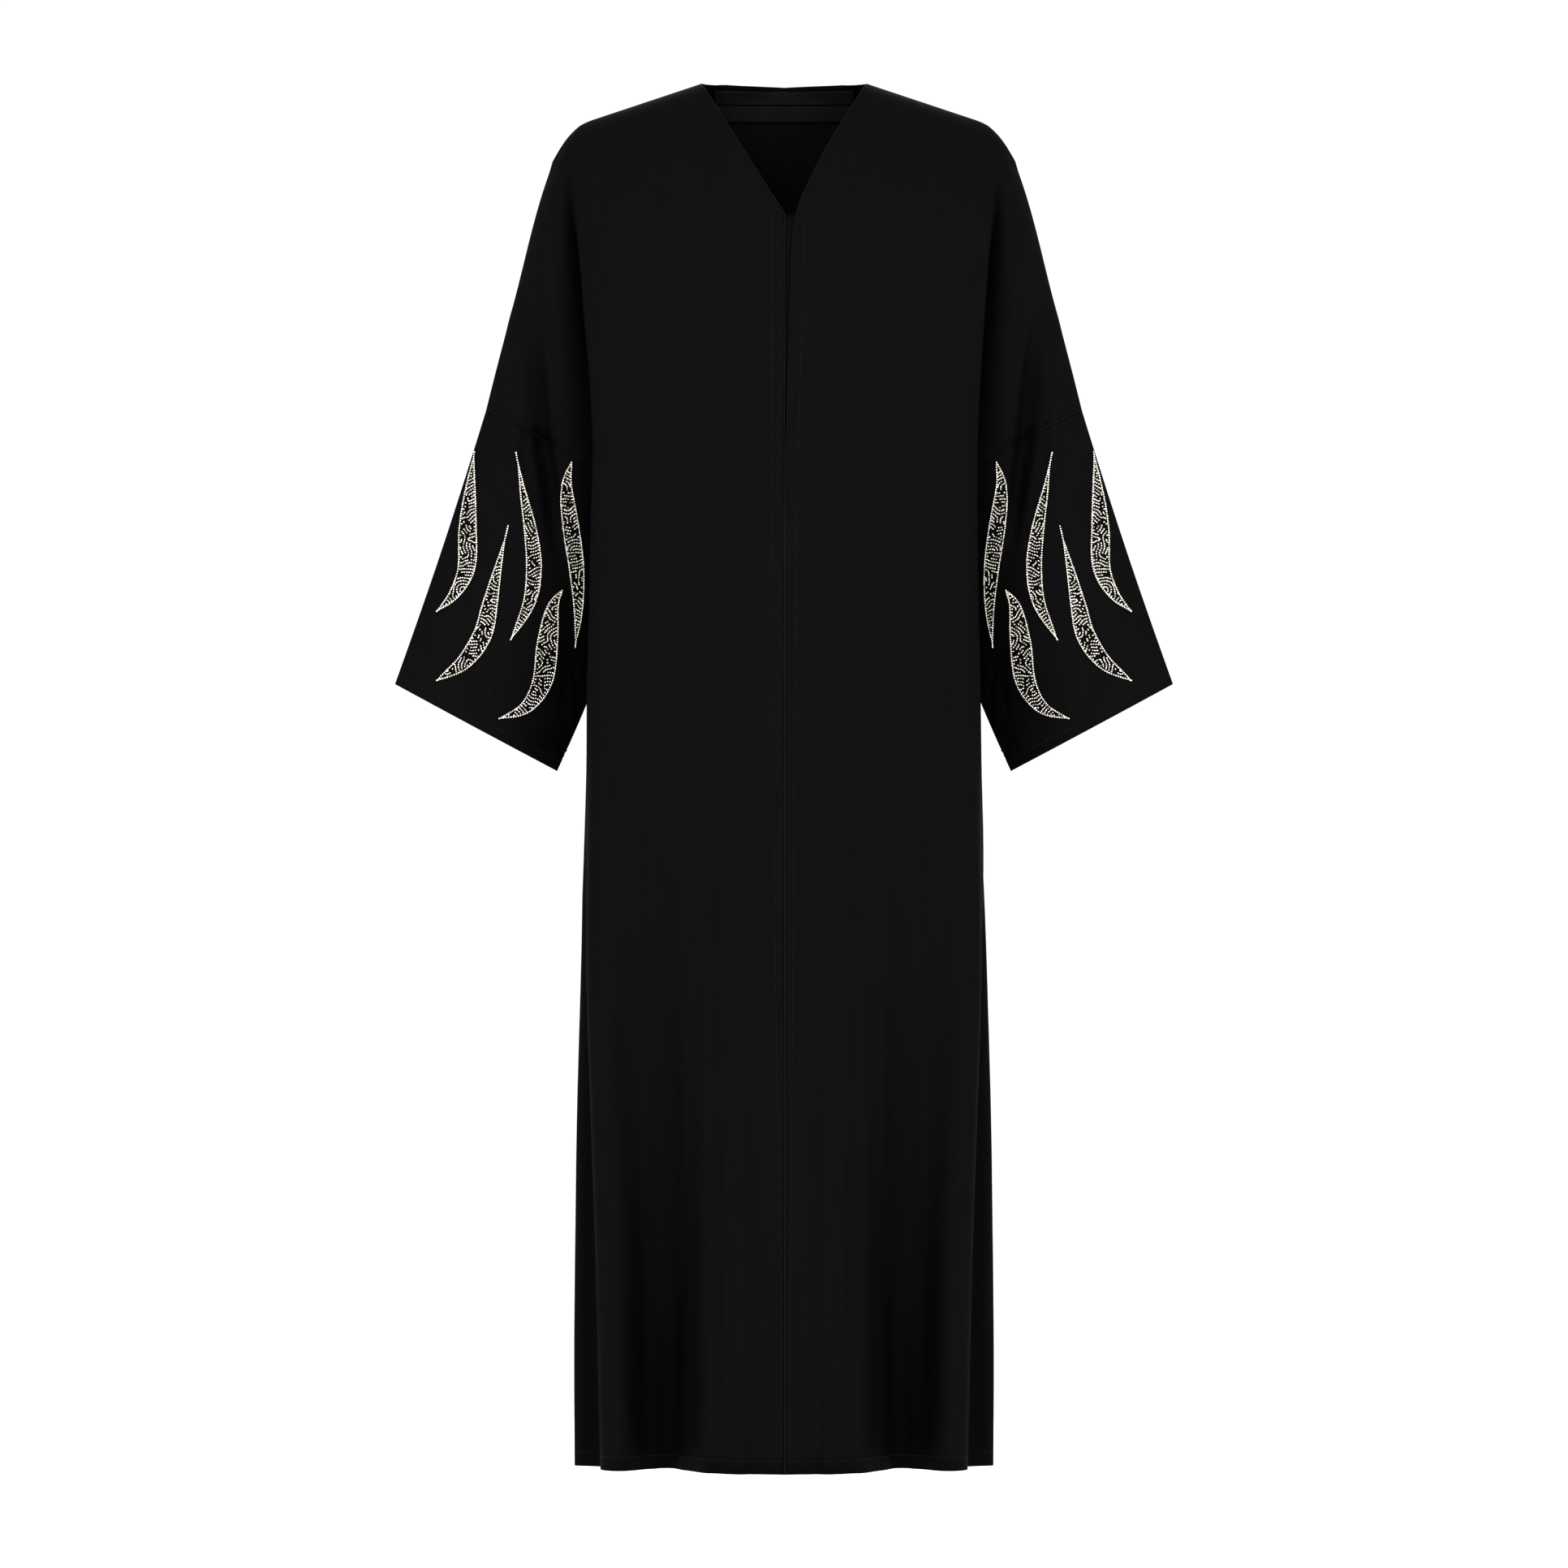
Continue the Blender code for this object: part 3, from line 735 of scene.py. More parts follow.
@dataclass(frozen=True)
class SmallForm:
    """A barrel that is repeated many times, as a bead or a stitch. Its length lies along Z."""

    length: float
    radius: float
    sides: int = 6
    end_fullness: float = 0.78  # how near to its ends the barrel keeps its width

    def build(self) -> tuple[np.ndarray, np.ndarray]:
        """Makes it from a sphere of three rings, whose outer two are pushed towards its ends.

        Returns:
            Its vertices, and its faces as triangles of vertex numbers.
        """
        bm = bmesh.new()
        bmesh.ops.create_uvsphere(bm, u_segments=self.sides, v_segments=4, radius=1.0)
        for vert in bm.verts:
            if 0.1 < abs(vert.co.z) < 0.9:
                vert.co.z = math.copysign(self.end_fullness, vert.co.z)
        bmesh.ops.scale(bm, verts=bm.verts, vec=(self.radius, self.radius, self.length / 2))
        bmesh.ops.triangulate(bm, faces=bm.faces)
        bm.verts.index_update()
        verts = np.array([vert.co for vert in bm.verts])
        faces = np.array([[vert.index for vert in face.verts] for face in bm.faces])
        bm.free()
        return verts, faces


class Scatter:
    """Collects places on the cloth and joins one small form at each into a mesh."""

    def __init__(self, form: SmallForm) -> None:
        """Starts with no places."""
        self.form = form
        self.places: list[np.ndarray] = []
        self.along: list[np.ndarray] = []
        self.up: list[np.ndarray] = []
        self.stretch: list[tuple[float, float]] = []

    def add(
        self, place: np.ndarray, along: np.ndarray, up: np.ndarray, long: float = 1, wide: float = 1
    ) -> None:
        """Adds one.

        Args:
            place: its middle.
            along: the way its length lies.
            up: the cloth's normal.
            long: its length, as a share of the form's.
            wide: its width, as a share of the form's.
        """
        self.places.append(place)
        self.along.append(along)
        self.up.append(up)
        self.stretch.append((long, wide))

    def build(self, name: str, material: bpy.types.Material) -> bpy.types.Object:
        """Joins all of them.

        Args:
            name: the object's name.
            material: its material.

        Returns:
            The object.
        """
        verts, faces = self.form.build()
        along = np.array(self.along)
        along /= np.linalg.norm(along, axis=1)[:, None]
        across = np.cross(np.array(self.up), along)
        across /= np.linalg.norm(across, axis=1)[:, None]
        up = np.cross(along, across)
        long, wide = np.array(self.stretch).T
        sized = verts[None] * np.stack([wide, wide, long], axis=1)[:, None, :]
        axes = np.stack([across, up, along], axis=1)
        placed = np.einsum("nvi,nij->nvj", sized, axes) + np.array(self.places)[:, None, :]
        numbers = faces[None] + (np.arange(len(placed)) * len(verts))[:, None, None]
        mesh = bpy.data.meshes.new(name)
        mesh.from_pydata(placed.reshape(-1, 3), [], numbers.reshape(-1, 3))
        log.info("%s: %d pieces, %d triangles", name, len(placed), len(numbers.reshape(-1, 3)))
        return link(name, mesh, material)


@dataclass(frozen=True)
class Leaf:
    """A curved leaf of beadwork: its middle line on the view, its width and where it is widest."""

    spine: tuple[tuple[float, float], ...]
    width: float
    widest: float  # share of its length, from the top
    fullness: float = 0.8

    def half_widths(self, count: int) -> np.ndarray:
        """Half the leaf's width at even steps down its spine."""
        t = np.linspace(0, 1, count)
        lean = math.log(0.5) / math.log(self.widest)
        return self.width / 2 * np.sin(np.pi * t**lean) ** self.fullness

    def middle(self, count: int) -> tuple[np.ndarray, np.ndarray]:
        """The spine and its sideways directions.

        Args:
            count: how many samples to give.

        Returns:
            The samples, and a unit vector square to the spine at each.
        """
        line = smooth_line(np.array(self.spine), count)
        run = np.gradient(line, axis=0)
        run /= np.linalg.norm(run, axis=1)[:, None]
        return line, np.stack([-run[:, 1], run[:, 0]], axis=1)

    def outline(self, inset: float) -> np.ndarray:
        """The rim, down one side and up the other.

        Args:
            inset: how far inside the leaf's edge it runs.

        Returns:
            Its points.
        """
        count = 160
        line, sideways = self.middle(count)
        half = np.maximum(self.half_widths(count) - inset, 0)[:, None]
        return np.vstack([line + sideways * half, (line - sideways * half)[::-1]])


@dataclass
class Vermicelli:
    """The winding lines that fill a leaf, from a stripe pattern that grows out of seeded noise."""

    leaf: Leaf
    seed: int
    pitch: float = 0.0031  # from one line to the next
    cell: float = 0.0005
    steps: int = 160
    time_step: float = 0.5
    growth: float = 0.6
    noise: float = 0.3
    margin: float = 0.0017
    points: np.ndarray | None = None
    tangents: np.ndarray | None = None

    def grow(self) -> None:
        """Grows the stripes inside the leaf and keeps the points of their ridges."""
        count = 240
        line, _ = self.leaf.middle(count)
        half = self.leaf.half_widths(count)
        low = line.min(axis=0) - self.leaf.width
        high = line.max(axis=0) + self.leaf.width
        xs = np.arange(low[0], high[0], self.cell)
        zs = np.arange(low[1], high[1], self.cell)
        grid = np.stack(np.meshgrid(xs, zs, indexing="ij"), axis=-1)
        flat = grid.reshape(-1, 2)
        tree = KDTree(count)
        for i, point in enumerate(line):
            tree.insert((*point, 0), i)
        tree.balance()
        found = [tree.find((*point, 0)) for point in flat]
        inside = np.array([half[i] - gap for _, i, gap in found]).reshape(grid.shape[:2])
        held = np.clip(inside / self.cell / 2, 0, 1)
        fx = np.fft.fftfreq(len(xs), self.cell)[:, None]
        fz = np.fft.rfftfreq(len(zs), self.cell)[None, :]
        tuned = (fx**2 + fz**2) * self.pitch**2
        linear = self.growth - (1 - tuned) ** 2
        height = np.random.default_rng(self.seed).normal(0, self.noise, grid.shape[:2])
        for _ in range(self.steps):
            ahead = np.fft.rfft2(height - self.time_step * height**3) / (1 - self.time_step * linear)
            height = np.fft.irfft2(ahead, s=grid.shape[:2])
            height *= held
        self.trace(height, inside, low)

    def trace(self, height: np.ndarray, inside: np.ndarray, low: np.ndarray) -> None:
        """Finds where the stripes are highest, finer than the grid.

        Args:
            height: the stripes' height on the grid.
            inside: the distance to the leaf's edge on the grid.
            low: X and Z of the grid's first point.
        """
        gx, gz = np.gradient(height)
        gxx, gxz = np.gradient(gx)
        _, gzz = np.gradient(gz)
        bend = np.sqrt((gxx - gzz) ** 2 / 4 + gxz**2)
        sharp = (gxx + gzz) / 2 - bend
        angle = 0.5 * np.arctan2(2 * gxz, gxx - gzz) + np.pi / 2
        nx, nz = np.cos(angle), np.sin(angle)
        offset = -(gx * nx + gz * nz) / np.where(sharp < -1e-6, sharp, -1e-6)
        keep = (sharp < -0.005) & (np.abs(offset) < 0.75) & (inside > self.margin) & (height > 0.05)
        i, j = np.nonzero(keep)
        shift = np.stack([nx, nz], axis=-1)[i, j] * offset[i, j][:, None]
        self.points = low + (np.stack([i, j], axis=1) + shift) * self.cell
        self.tangents = np.stack([-nz[i, j], nx[i, j]], axis=1)

    def chains(self, step: float) -> list[np.ndarray]:
        """Walks along the ridges.

        Args:
            step: from one bead to the next.

        Returns:
            For each line, the points of its beads in order.
        """
        if self.points is None or not len(self.points):
            return []
        tree = KDTree(len(self.points))
        for i, point in enumerate(self.points):
            tree.insert((*point, 0), i)
        tree.balance()
        free = np.ones(len(self.points), bool)
        lines = []
        for start in range(len(self.points)):
            if not free[start]:
                continue
            halves = [self.walk(tree, free, start, sign * self.tangents[start], step) for sign in (1, -1)]
            line = halves[1][::-1] + [start] + halves[0]
            for i in line:
                for _, near, _ in tree.find_range((*self.points[i], 0), 0.75 * step):
                    free[near] = False
            lines.append(self.points[line])
        return lines

    def walk(self, tree: KDTree, free: np.ndarray, start: int, way: np.ndarray, step: float) -> list[int]:
        """Goes one way along a ridge until it ends or meets a line that is there already.

        Args:
            tree: a search tree of the ridge points.
            free: which of them no line has used.
            start: the number of the first point.
            way: the direction to go.
            step: from one bead to the next.

        Returns:
            The numbers of the points stepped on.
        """
        found = []
        here = self.points[start]
        for _ in range(60):
            place, i, gap = tree.find((*(here + way * step), 0))
            if gap > 0.4 * step or not free[i] or i in found or i == start:
                break
            if any(np.linalg.norm(self.points[i] - self.points[k]) < 0.7 * step for k in [start, *found]):
                break
            found.append(i)
            turn = self.tangents[i]
            way = turn if turn @ (self.points[i] - here) > 0 else -turn
            here = self.points[i]
        return found


# The leaves of a sleeve's front at the wearer's left: X and Z of the spine, width, place of the widest part
LEAVES = {
    "overarm": Leaf(
        (
            (0.3150, -0.3750), (0.3190, -0.4140), (0.3216, -0.4529),
            (0.3228, -0.4943), (0.3355, -0.5213), (0.3540, -0.5394),
        ),
        0.0207,
        0.56,
    ),
    "upper_middle": Leaf(
        (
            (0.2724, -0.3767), (0.2658, -0.4148), (0.2575, -0.4579),
            (0.2542, -0.4951), (0.2592, -0.5307), (0.2782, -0.5688),
        ),
        0.0170,
        0.60,
    ),
    "lower_middle": Leaf(
        (
            (0.2799, -0.4513), (0.2905, -0.4951), (0.2985, -0.5307),
            (0.3065, -0.5630), (0.3254, -0.5904), (0.3540, -0.6098),
        ),
        0.0205,
        0.64,
    ),
    "hem": Leaf(
        (
            (0.2252, -0.5167), (0.2350, -0.5341), (0.2405, -0.5688),
            (0.2460, -0.6100), (0.2630, -0.6367), (0.2906, -0.6483),
        ),
        0.0232,
        0.46,
    ),
    "underarm": Leaf(
        (
            (0.2153, -0.3867), (0.2205, -0.4115), (0.2166, -0.4513),
            (0.2110, -0.4960), (0.2095, -0.5374), (0.2128, -0.5763),
        ),
        0.0182,
        0.42,
    ),
}


@dataclass
class Beadwork:
    """The beaded leaves of one sleeve: a cord of beads round each, and winding lines inside."""

    sleeve: LowerSleeve
    side: Side
    outline_bead: SmallForm = SmallForm(0.0024, 0.00120)
    filling_bead: SmallForm = SmallForm(0.0024, 0.00098)
    sunk: float = 0.25  # share of a bead's radius that is pressed into the cloth
    fold_line: tuple[tuple[float, float], tuple[float, float]] = (ARM_SEAM[1], SLEEVE_HEM[1])
    fold_reach: float = 0.0016  # how far before the fold line the skin already turns
    spacing: float = 1.04  # from bead to bead, as a share of their length
    widths: tuple[float, float] = (0.88, 1.12)  # shares of a bead's width and length that are drawn
    lengths: tuple[float, float] = (0.92, 1.04)
    seed: int = 11
    back_shift: float = 0.004  # how much further in the leaves of the back lie

    def on_cloth(self, x: float, z: float, face: Face) -> tuple[np.ndarray, np.ndarray] | None:
        """Finds the sleeve's skin under a place of the view, round the overarm fold where it lies past it.

        Args:
            x: across, at the wearer's left.
            z: up.
            face: the side that the leaf is on.

        Returns:
            The point and its outward normal, or None past the cloth.
        """
        (x0, z0), (x1, z1) = self.fold_line
        run = np.array([x1 - x0, z1 - z0]) / math.hypot(x1 - x0, z1 - z0)
        outward = np.array([-run[1], run[0]])
        past = np.array([x - x0, z - z0]) @ outward + self.fold_reach
        if past > 0:
            x, z = np.array([x, z]) - 2 * past * outward
            face = Face.BACK if face is Face.FRONT else Face.FRONT
        return self.sleeve.seen_from(x * self.side.value, z, face)

    def string(
        self, line: np.ndarray, face: Face, beads: Scatter, form: SmallForm, rng: np.random.Generator
    ) -> None:
        """Sews beads along a line.

        Args:
            line: X and Z of its points, at the wearer's left.
            face: the side that the leaf is on.
            beads: what they are added to.
            form: their form.
            rng: the seeded draw of their sizes.
        """
        found = [hit for hit in (self.on_cloth(x, z, face) for x, z in line) if hit]
        if len(found) < 2:
            return
        points = np.array([hit[0] for hit in found])
        normals = np.array([hit[1] for hit in found])
        length = run_along(points)[-1]
        count = max(round(length / (form.length * self.spacing)), 1)
        places = (np.arange(count) + 0.5) / count * length
        for middle, along, up in laid(points, normals, places, form.length / 2):
            wide = rng.uniform(*self.widths)
            if np.linalg.norm(along) >= MERGE:
                middle = middle + up * form.radius * (1 - self.sunk) * wide
                beads.add(middle, along, up, rng.uniform(*self.lengths), wide)

    def build(self, cord_material: bpy.types.Material, filling_material: bpy.types.Material) -> None:
        """Makes the sleeve's beadwork and sews it on.

        Args:
            cord_material: the outlines' beads'.
            filling_material: the inner lines'.
        """
        cords = Scatter(self.outline_bead)
        filling = Scatter(self.filling_bead)
        rng = np.random.default_rng(self.seed)
        for face in Face:
            for number, (name, leaf) in enumerate(LEAVES.items()):
                if face is Face.BACK:
                    if name == "overarm":
                        continue
                    leaf = Leaf(
                        tuple((x + self.back_shift, z - self.back_shift) for x, z in leaf.spine),
                        leaf.width,
                        leaf.widest,
                    )
                self.string(leaf.outline(self.outline_bead.radius), face, cords, self.outline_bead, rng)
                lines = Vermicelli(leaf, seed=100 * (1 + face.value) + number)
                lines.grow()
                for chain in lines.chains(self.filling_bead.length):
                    if len(chain) > 1:
                        self.string(chain, face, filling, self.filling_bead, rng)
        wearer = self.side.name.lower()
        made = (("outlines", cords, cord_material), ("filling", filling, filling_material))
        for part, beads, material in made:
            piece = beads.build(f"leaf_{part}_{wearer}", material)
            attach(piece, "root")


@dataclass(frozen=True)
class SeenLine:
    """A line of stitches drawn on the front or back view."""

    points: tuple[tuple[float, float], ...]
    face: Face = Face.FRONT


@dataclass
class FoldedEdge:
    """The round edge where the cloth of a panel turns over at the neck and the opening."""

    cloth: ClothPiece
    radius: float = 0.0006
    reach: float = 0.0850  # the neck point's X: beyond it lies the shoulder seam
    clear_of_hem: float = 0.0006

    def line(self) -> list[Vector]:
        """Follows the rim of the panel's skin.

        Returns:
            Its points in order, half the cloth's thickness inside the skin.
        """
        bm = opened(self.cloth.skin)
        low = HEM_Z + self.clear_of_hem
        rim = {
            edge
            for edge in bm.edges
            if edge.is_boundary
            and all(abs(vert.co.x) < self.reach for vert in edge.verts)
            and max(vert.co.z for vert in edge.verts) > low
        }
        chain = take_chain(rim)
        points = [vert.co - vert.normal * self.cloth.thickness / 2 for vert in chain]
        bm.free()
        return points

    def build(self, material: bpy.types.Material) -> None:
        """Makes the roll.

        Args:
            material: a lighter copy of the cloth, its extra brightness painted light along the edge.
        """
        curve = bpy.data.curves.new(self.cloth.node + "_edge", "CURVE")
        curve.dimensions = "3D"
        curve.bevel_depth = self.radius
        curve.bevel_resolution = 1
        curve.use_fill_caps = True
        points = self.line()
        spline = curve.splines.new("POLY")
        spline.points.add(len(points) - 1)
        for place, point in zip(spline.points, points):
            place.co = (*point, 1)
        draft = bpy.data.objects.new("edge_draft", curve)
        bpy.context.scene.collection.objects.link(draft)
        piece = link(self.cloth.node + "_edge", evaluated(draft), material)
        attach(piece, "root")
        log.info("%s_edge: %d points", self.cloth.node, len(points))


@dataclass
class Sewing:
    """Every line of stitches."""

    stitch: SmallForm = SmallForm(0.0024, 0.00026, 5)
    pitch: float = 0.0034
    proud: float = 0.00012

    def along_view(self, cloth: ClothPiece, line: SeenLine, stitches: Scatter) -> None:
        """Sews a line drawn on the view.

        Args:
            cloth: the piece that it is sewn on.
            line: the line.
            stitches: what its stitches are added to.
        """
        drawn = smooth_line(np.array(line.points), 200)
        found = [hit for hit in (cloth.seen_from(x, z, line.face) for x, z in drawn) if hit]
        if len(found) > 1:
            self.sew(np.array([hit[0] for hit in found]), np.array([hit[1] for hit in found]), stitches)

    def across_plane(self, cloth: ClothPiece, point: tuple, normal: tuple, stitches: Scatter) -> None:
        """Sews a line where a plane cuts the cloth, as round a hem.

        Args:
            cloth: the piece that it is sewn on.
            point: a point of the plane.
            normal: the plane's normal.
            stitches: what its stitches are added to.
        """
        bm = opened(cloth.skin)
        cut = bmesh.ops.bisect_plane(
            bm, geom=[*bm.verts, *bm.edges, *bm.faces], dist=MERGE, plane_co=point, plane_no=normal
        )["geom_cut"]
        bm.edges.index_update()
        edges = {item for item in cut if isinstance(item, bmesh.types.BMEdge)}
        while edges:
            chain = take_chain(edges)
            points = np.array([vert.co for vert in chain])
            normals = np.array([vert.normal for vert in chain])
            if len(chain) > 1:
                self.sew(points, normals, stitches)
        bm.free()

    def sew(self, points: np.ndarray, normals: np.ndarray, stitches: Scatter) -> None:
        """Places stitches along a line on the cloth.

        Args:
            points: the line's points.
            normals: the cloth's normals there.
            stitches: what they are added to.
        """
        places = np.arange(self.pitch / 2, run_along(points)[-1] - self.pitch / 2, self.pitch)
        for middle, along, up in laid(points, normals, places, self.stitch.length / 2):
            stitches.add(middle + up * self.proud, along, up)


# Folds of a front at the wearer's left. They are drawn as X and Z.
FRONT_FOLDS = (
    Fold(((0.037, -0.16), (0.034, -0.28), (0.030, -0.42)), 0.030, 0.0016, 0.05, 0.12),
    Fold(((0.150, -0.20), (0.146, -0.40), (0.140, -0.62)), 0.030, -0.0014, 0.10, 0.15),
    Fold(((0.098, -0.30), (0.100, -0.55), (0.104, -0.80)), 0.028, 0.0012, 0.12, 0.15),
    Fold(((0.074, -0.60), (0.070, -1.00), (0.068, -1.42)), 0.010, 0.0026, 0.20, 0.01),
    Fold(((0.047, -0.70), (0.045, -1.10), (0.045, -1.42)), 0.009, -0.0018, 0.25, 0.01),
    Fold(((0.034, -0.85), (0.034, -1.10), (0.034, -1.42)), 0.008, 0.0016, 0.25, 0.01),
    Fold(((0.060, -0.95), (0.058, -1.20), (0.057, -1.42)), 0.006, -0.0012, 0.20, 0.01),
    Fold(((0.134, -0.62), (0.136, -0.90), (0.138, -1.25)), 0.010, -0.0018, 0.15, 0.20),
    Fold(((0.122, -0.70), (0.124, -0.95), (0.124, -1.30)), 0.008, 0.0014, 0.15, 0.20),
    Fold(((0.104, -0.66), (0.102, -0.90), (0.100, -1.20)), 0.009, -0.0014, 0.12, 0.20),
    Fold(((0.110, -1.20), (0.116, -1.32), (0.118, -1.42)), 0.016, 0.0060, 0.10, 0.01),
    Fold(((0.168, -0.56), (0.172, -0.70), (0.176, -0.86)), 0.009, 0.0026, 0.08, 0.10),
    Fold(((0.186, -0.56), (0.188, -0.70), (0.189, -0.85)), 0.007, 0.0018, 0.08, 0.10),
)
# Folds of the back at the wearer's left
BACK_FOLDS = (
    Fold(((0.055, -0.14), (0.070, -0.34), (0.078, -0.56)), 0.030, 0.0016, 0.10, 0.15),
    Fold(((0.132, -0.16), (0.136, -0.38), (0.132, -0.60)), 0.028, -0.0014, 0.10, 0.15),
    Fold(((0.020, -0.50), (0.024, -0.85), (0.026, -1.20)), 0.014, 0.0014, 0.20, 0.20),
    Fold(((0.096, -0.60), (0.100, -0.90), (0.104, -1.30)), 0.013, 0.0013, 0.20, 0.15),
    Fold(((0.150, -0.55), (0.155, -0.80), (0.158, -1.10)), 0.012, 0.0013, 0.12, 0.15),
)
# Folds of the arm at the wearer's left. The first two run on through the sleeve's seam.
THROUGH_FOLDS = (
    Fold(
        (
            (0.2592, -0.2150), (0.2550, -0.2741), (0.2484, -0.3370),
            (0.2445, -0.3726), (0.2368, -0.4198), (0.2269, -0.4993),
        ),
        0.0125,
        0.0135,
        0.10,
        0.10,
    ),
    Fold(
        (
            (0.2749, -0.2200), (0.2766, -0.2923), (0.2724, -0.3502),
            (0.2716, -0.3751), (0.2800, -0.4480),
        ),
        0.009, -0.0026, 0.07, 0.06,
    ),
)
ARM_FOLDS = (
    *THROUGH_FOLDS,
    Fold(((0.2475, -0.205), (0.2430, -0.232), (0.2285, -0.290)), 0.0045, 0.0022, 0.02, 0.03),
)
SLEEVE_FOLDS = (
    *THROUGH_FOLDS,
    Fold(((0.2265, -0.560), (0.2140, -0.600), (0.2080, -0.640)), 0.0042, 0.0014, 0.015, 0.02),
    Fold(((0.2210, -0.575), (0.2240, -0.620), (0.2300, -0.660)), 0.0038, 0.0012, 0.015, 0.02),
    Fold(((0.2060, -0.590), (0.2150, -0.625), (0.2170, -0.665)), 0.0038, -0.0012, 0.012, 0.02),
    Fold(((0.2350, -0.655), (0.2270, -0.672), (0.2230, -0.690)), 0.0035, 0.0012, 0.010, 0.01),
    Fold(((0.330, -0.560), (0.318, -0.610), (0.300, -0.650)), 0.016, 0.0018, 0.03, 0.01),
)


NECK_STRIP_THICKNESS = 0.0007
# X and Z of the stitches along the turned edge of each front
EDGE_STITCHES = {
    "front_right": (
        (-0.0126, -0.139), (-0.0115, -0.35), (-0.0105, -0.60),
        (-0.0080, -0.95), (-0.0035, -1.20), (-0.0035, -1.40),
    ),
    "front_left": (
        (0.0212, -0.137), (0.0182, -0.244), (0.0157, -0.331), (0.0132, -0.419),
        (0.0095, -0.80), (0.0066, -1.27), (0.0060, -1.40),
    ),
}
# X and Z of the stitches on the front's side of a sleeve's seam, at the wearer's left
SEAM_STITCHES = ((0.3030, -0.3320), (0.2045, -0.3850))
NECK_STITCHES = (("neck_band", -0.0147), ("neck_facing", -0.0313), ("neck_facing", -0.0190))  # node and Z
NECK_STITCH_REACH = 0.070  # from the middle to either end
NECK_STITCH_DIP = 0.0002
HEM_TURN = 0.014  # from the lowest point of the hem up to its stitches
SLEEVE_HEM_TURN = 0.010  # from the sleeve's hem up to its stitches


@dataclass
class Garment:
    """All cut pieces of the abaya, with its sewing and beadwork."""

    crepe: bpy.types.Material
    lit_crepe: bpy.types.Material
    # a lighter copy of the crepe: painted light on the turned-over edges and the neck strips
    thread: bpy.types.Material
    silver: bpy.types.Material
    pewter: bpy.types.Material
    pieces: dict[str, ClothPiece] = field(default_factory=dict)

    def cut(self, piece: ClothPiece, material: bpy.types.Material | None = None) -> None:
        """Builds one cut piece and keeps it by its node's name."""
        piece.build(material or self.crepe)
        self.pieces[piece.node] = piece

    def panels(self) -> None:
        """Builds the back and the two fronts."""
        sides = {(side, Face.BACK): BACK_FOLDS + ARM_FOLDS for side in Side}
        self.cut(ClothPiece("back", (0.849, 1.456), 0.894, facing=Face.BACK, folds=sides))
        for side in Side:
            folds = {(side, Face.FRONT): FRONT_FOLDS + ARM_FOLDS}
            node = f"front_{side.name.lower()}"
            self.cut(ClothPiece(node, (0.435, 1.442), 0.446, facing=Face.FRONT, folds=folds))

    def sleeves(self) -> None:
        """Builds the lower sleeves with their beadwork."""
        for side in Side:
            folds = {(side, face): SLEEVE_FOLDS for face in Face}
            sleeve = LowerSleeve(f"sleeve_{side.name.lower()}", (0.410, 0.295), 0.1195, detail=3, folds=folds)
            self.cut(sleeve)
            Beadwork(sleeve, side).build(self.silver, self.pewter)

    def neck(self) -> None:
        """Builds the strips inside the neck and behind the opening."""
        strips = (("neck_band", (0.151, 0.0210), 0.0025), ("neck_facing", (0.158, 0.0180), 0.00274))
        for node, flat, area in strips:
            strip = ClothPiece(node, flat, area, facing=Face.FRONT, thickness=NECK_STRIP_THICKNESS)
            # The neck strips take the lighter copy of the crepe: painted light.
            self.cut(strip, self.lit_crepe)
        self.cut(ClothPiece("underlap", (0.036, 0.384), 0.0138, facing=Face.FRONT))

    def edges(self) -> None:
        """Rounds the edges where the cloth turns over at the neck and the opening, in the lighter copy of the
        crepe that paints light on them.
        """
        for name in ("back", "front_left", "front_right"):
            FoldedEdge(self.pieces[name]).build(self.lit_crepe)

    def sewing(self) -> None:
        """Sews the visible lines of stitches."""
        sewing = Sewing()
        stitches = Scatter(sewing.stitch)
        for node, points in EDGE_STITCHES.items():
            sewing.along_view(self.pieces[node], SeenLine(points), stitches)
        for name in ("back", "front_left", "front_right"):
            sewing.across_plane(self.pieces[name], (0, 0, HEM_Z + HEM_TURN), (0, 0, 1), stitches)
        for side in Side:
            wearer = side.name.lower()
            seam = [(x * side.value, z) for x, z in SEAM_STITCHES]
            sewing.along_view(self.pieces[f"front_{wearer}"], SeenLine(tuple(seam)), stitches)
            sewing.along_view(self.pieces["back"], SeenLine(tuple(seam), Face.BACK), stitches)
            sleeve = self.pieces[f"sleeve_{wearer}"]
            (x0, z0), (x1, z1) = SLEEVE_HEM
            square = np.array([z0 - z1, x1 - x0]) / math.hypot(x1 - x0, z1 - z0)
            x, z = np.array([x0, z0]) + square * SLEEVE_HEM_TURN
            normal = (square[0] * side.value, 0, square[1])
            sewing.across_plane(sleeve, (x * side.value, 0, z), normal, stitches)
        for node, z in NECK_STITCHES:
            line = SeenLine(((-NECK_STITCH_REACH, z), (0.0, z - NECK_STITCH_DIP), (NECK_STITCH_REACH, z)))
            sewing.along_view(self.pieces[node], line, stitches)
        piece = stitches.build("stitches", self.thread)
        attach(piece, "root")


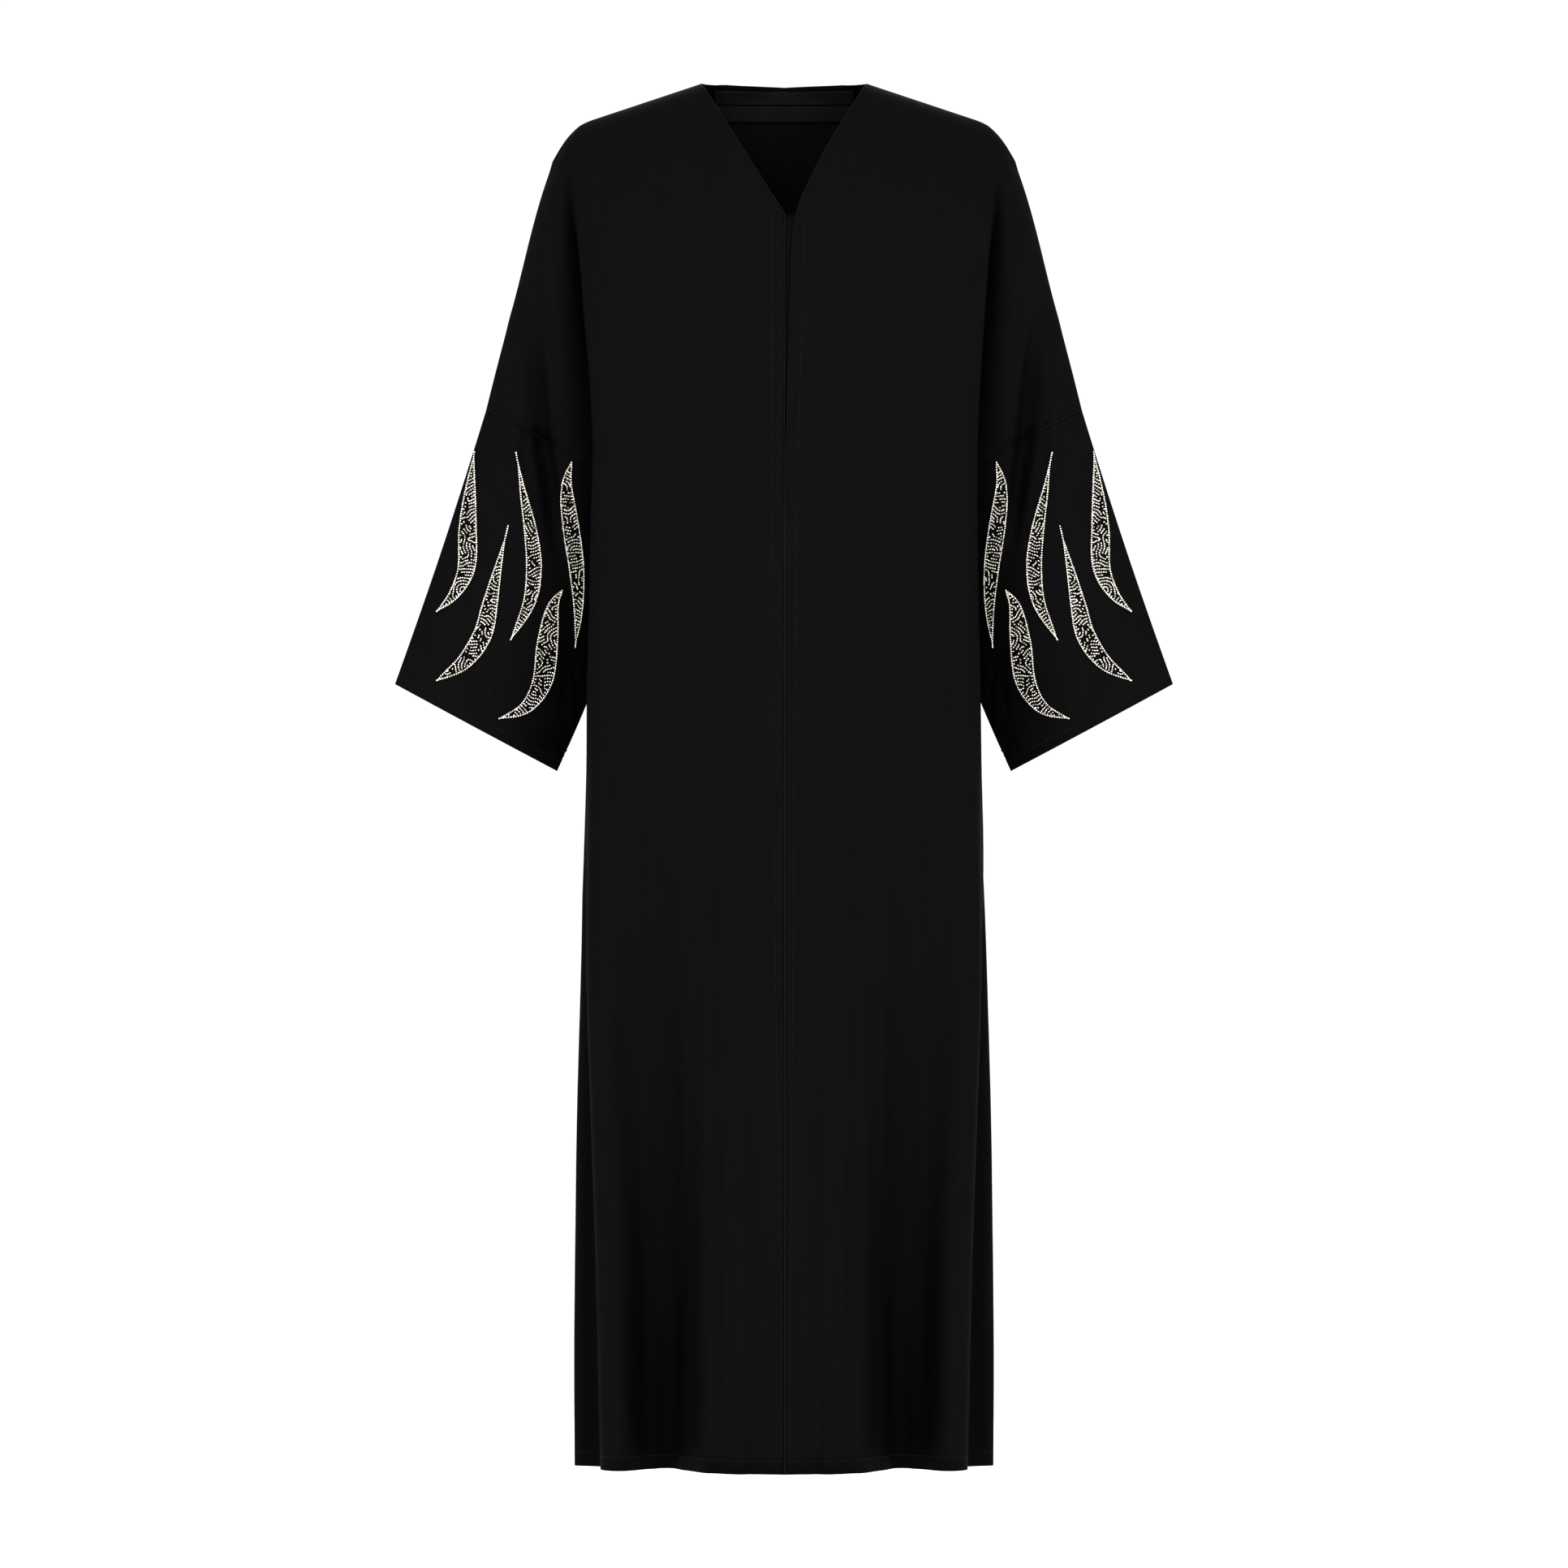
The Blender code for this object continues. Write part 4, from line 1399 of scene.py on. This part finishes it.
@dataclass(frozen=True)
class Studio:
    """The floor, light and camera."""

    floor_radius: float = 30.0
    camera_distance: float = 8.0
    camera_z: float = -0.7146
    view_width: float = 1.600
    sensor: float = 36.0

    def floor(self, material: bpy.types.Material) -> None:
        """Lays a round of white paper under the garment."""
        bm = bmesh.new()
        bmesh.ops.create_circle(bm, cap_ends=True, segments=96, radius=self.floor_radius)
        bmesh.ops.translate(bm, verts=bm.verts, vec=(0, 0, STUDIO_FLOOR_Z))
        mesh = bpy.data.meshes.new("floor")
        bm.to_mesh(mesh)
        bm.free()
        link("floor", mesh, material)

    def light(self, name: str, place: tuple, target: tuple, size: float, power: float) -> None:
        """Hangs one soft light.

        Args:
            name: its name.
            place: where it hangs.
            target: the point that it faces.
            size: the side of its square.
            power: in watts.
        """
        data = bpy.data.lights.new(name, "AREA")
        data.shape = "SQUARE"
        data.size = size
        data.energy = power
        lamp = bpy.data.objects.new(name, data)
        lamp.location = place
        lamp.rotation_euler = (Vector(target) - Vector(place)).to_track_quat("-Z", "Y").to_euler()
        bpy.context.scene.collection.objects.link(lamp)

    def sky(self) -> None:
        """A white studio, brightest level with the garment and dimmer above and below."""
        world = bpy.data.worlds.new("studio")
        bpy.context.scene.world = world
        nodes = NodeBuilder(world)
        way = nodes.add("ShaderNodeTexCoord").outputs["Generated"]
        up = nodes.add("ShaderNodeSeparateXYZ", {"Vector": way}).outputs["Z"]
        slope = nodes.add("ShaderNodeMath", {0: up}, operation="ABSOLUTE").outputs["Value"]
        colour = nodes.ramp(slope, [(0.22, (1.0, 1.0, 1.0)), (0.6, (0.45, 0.45, 0.46))])
        back = nodes.add("ShaderNodeBackground", {"Color": colour, "Strength": 1.05})
        nodes.add("ShaderNodeOutputWorld", {"Surface": back.outputs["Background"]})

    def camera(self) -> None:
        """Sets the camera level with the photograph's middle, square to the front."""
        data = bpy.data.cameras.new("camera")
        data.sensor_width = self.sensor
        data.lens = self.sensor * self.camera_distance / self.view_width
        data.clip_end = 100
        camera = bpy.data.objects.new("camera", data)
        camera.location = (0, -self.camera_distance, self.camera_z)
        camera.rotation_euler = (math.pi / 2, 0, 0)
        bpy.context.scene.collection.objects.link(camera)
        bpy.context.scene.camera = camera

    def build(self) -> None:
        """Sets up the whole studio."""
        self.floor(StudioPaper().make())
        self.sky()
        self.light("key", (-1.6, -4.2, 1.4), (0, 0, -0.6), 2.4, 170)
        self.light("fill", (2.2, -3.8, 0.6), (0, 0, -0.8), 2.4, 110)
        self.light("top_back", (0, 2.6, 2.2), (0, 0, -0.6), 2.2, 90)
        self.camera()
        bpy.context.scene.view_settings.view_transform = "Standard"


def main() -> None:
    """Builds the studio and the garment in order."""
    logging.basicConfig(level=logging.INFO, format="%(name)s: %(message)s")
    Studio().build()
    pewter = BeadSilver("smoky_glass", (0.24, 0.22, 0.18), (0.72, 0.67, 0.57), (1.0, 0.98, 0.93))
    # A lighter copy of the crepe, its extra brightness painted light, for the turned-over edges and the neck
    # strips.
    lit_crepe = Crepe("folded_crepe", (0.0048, 0.0048, 0.0048), (0.0060, 0.0060, 0.0060))
    garment = Garment(Crepe().make(), lit_crepe.make(), Thread().make(), BeadSilver().make(), pewter.make())
    garment.panels()
    garment.neck()
    garment.sleeves()
    garment.edges()
    garment.sewing()


if __name__ == "__main__":
    main()
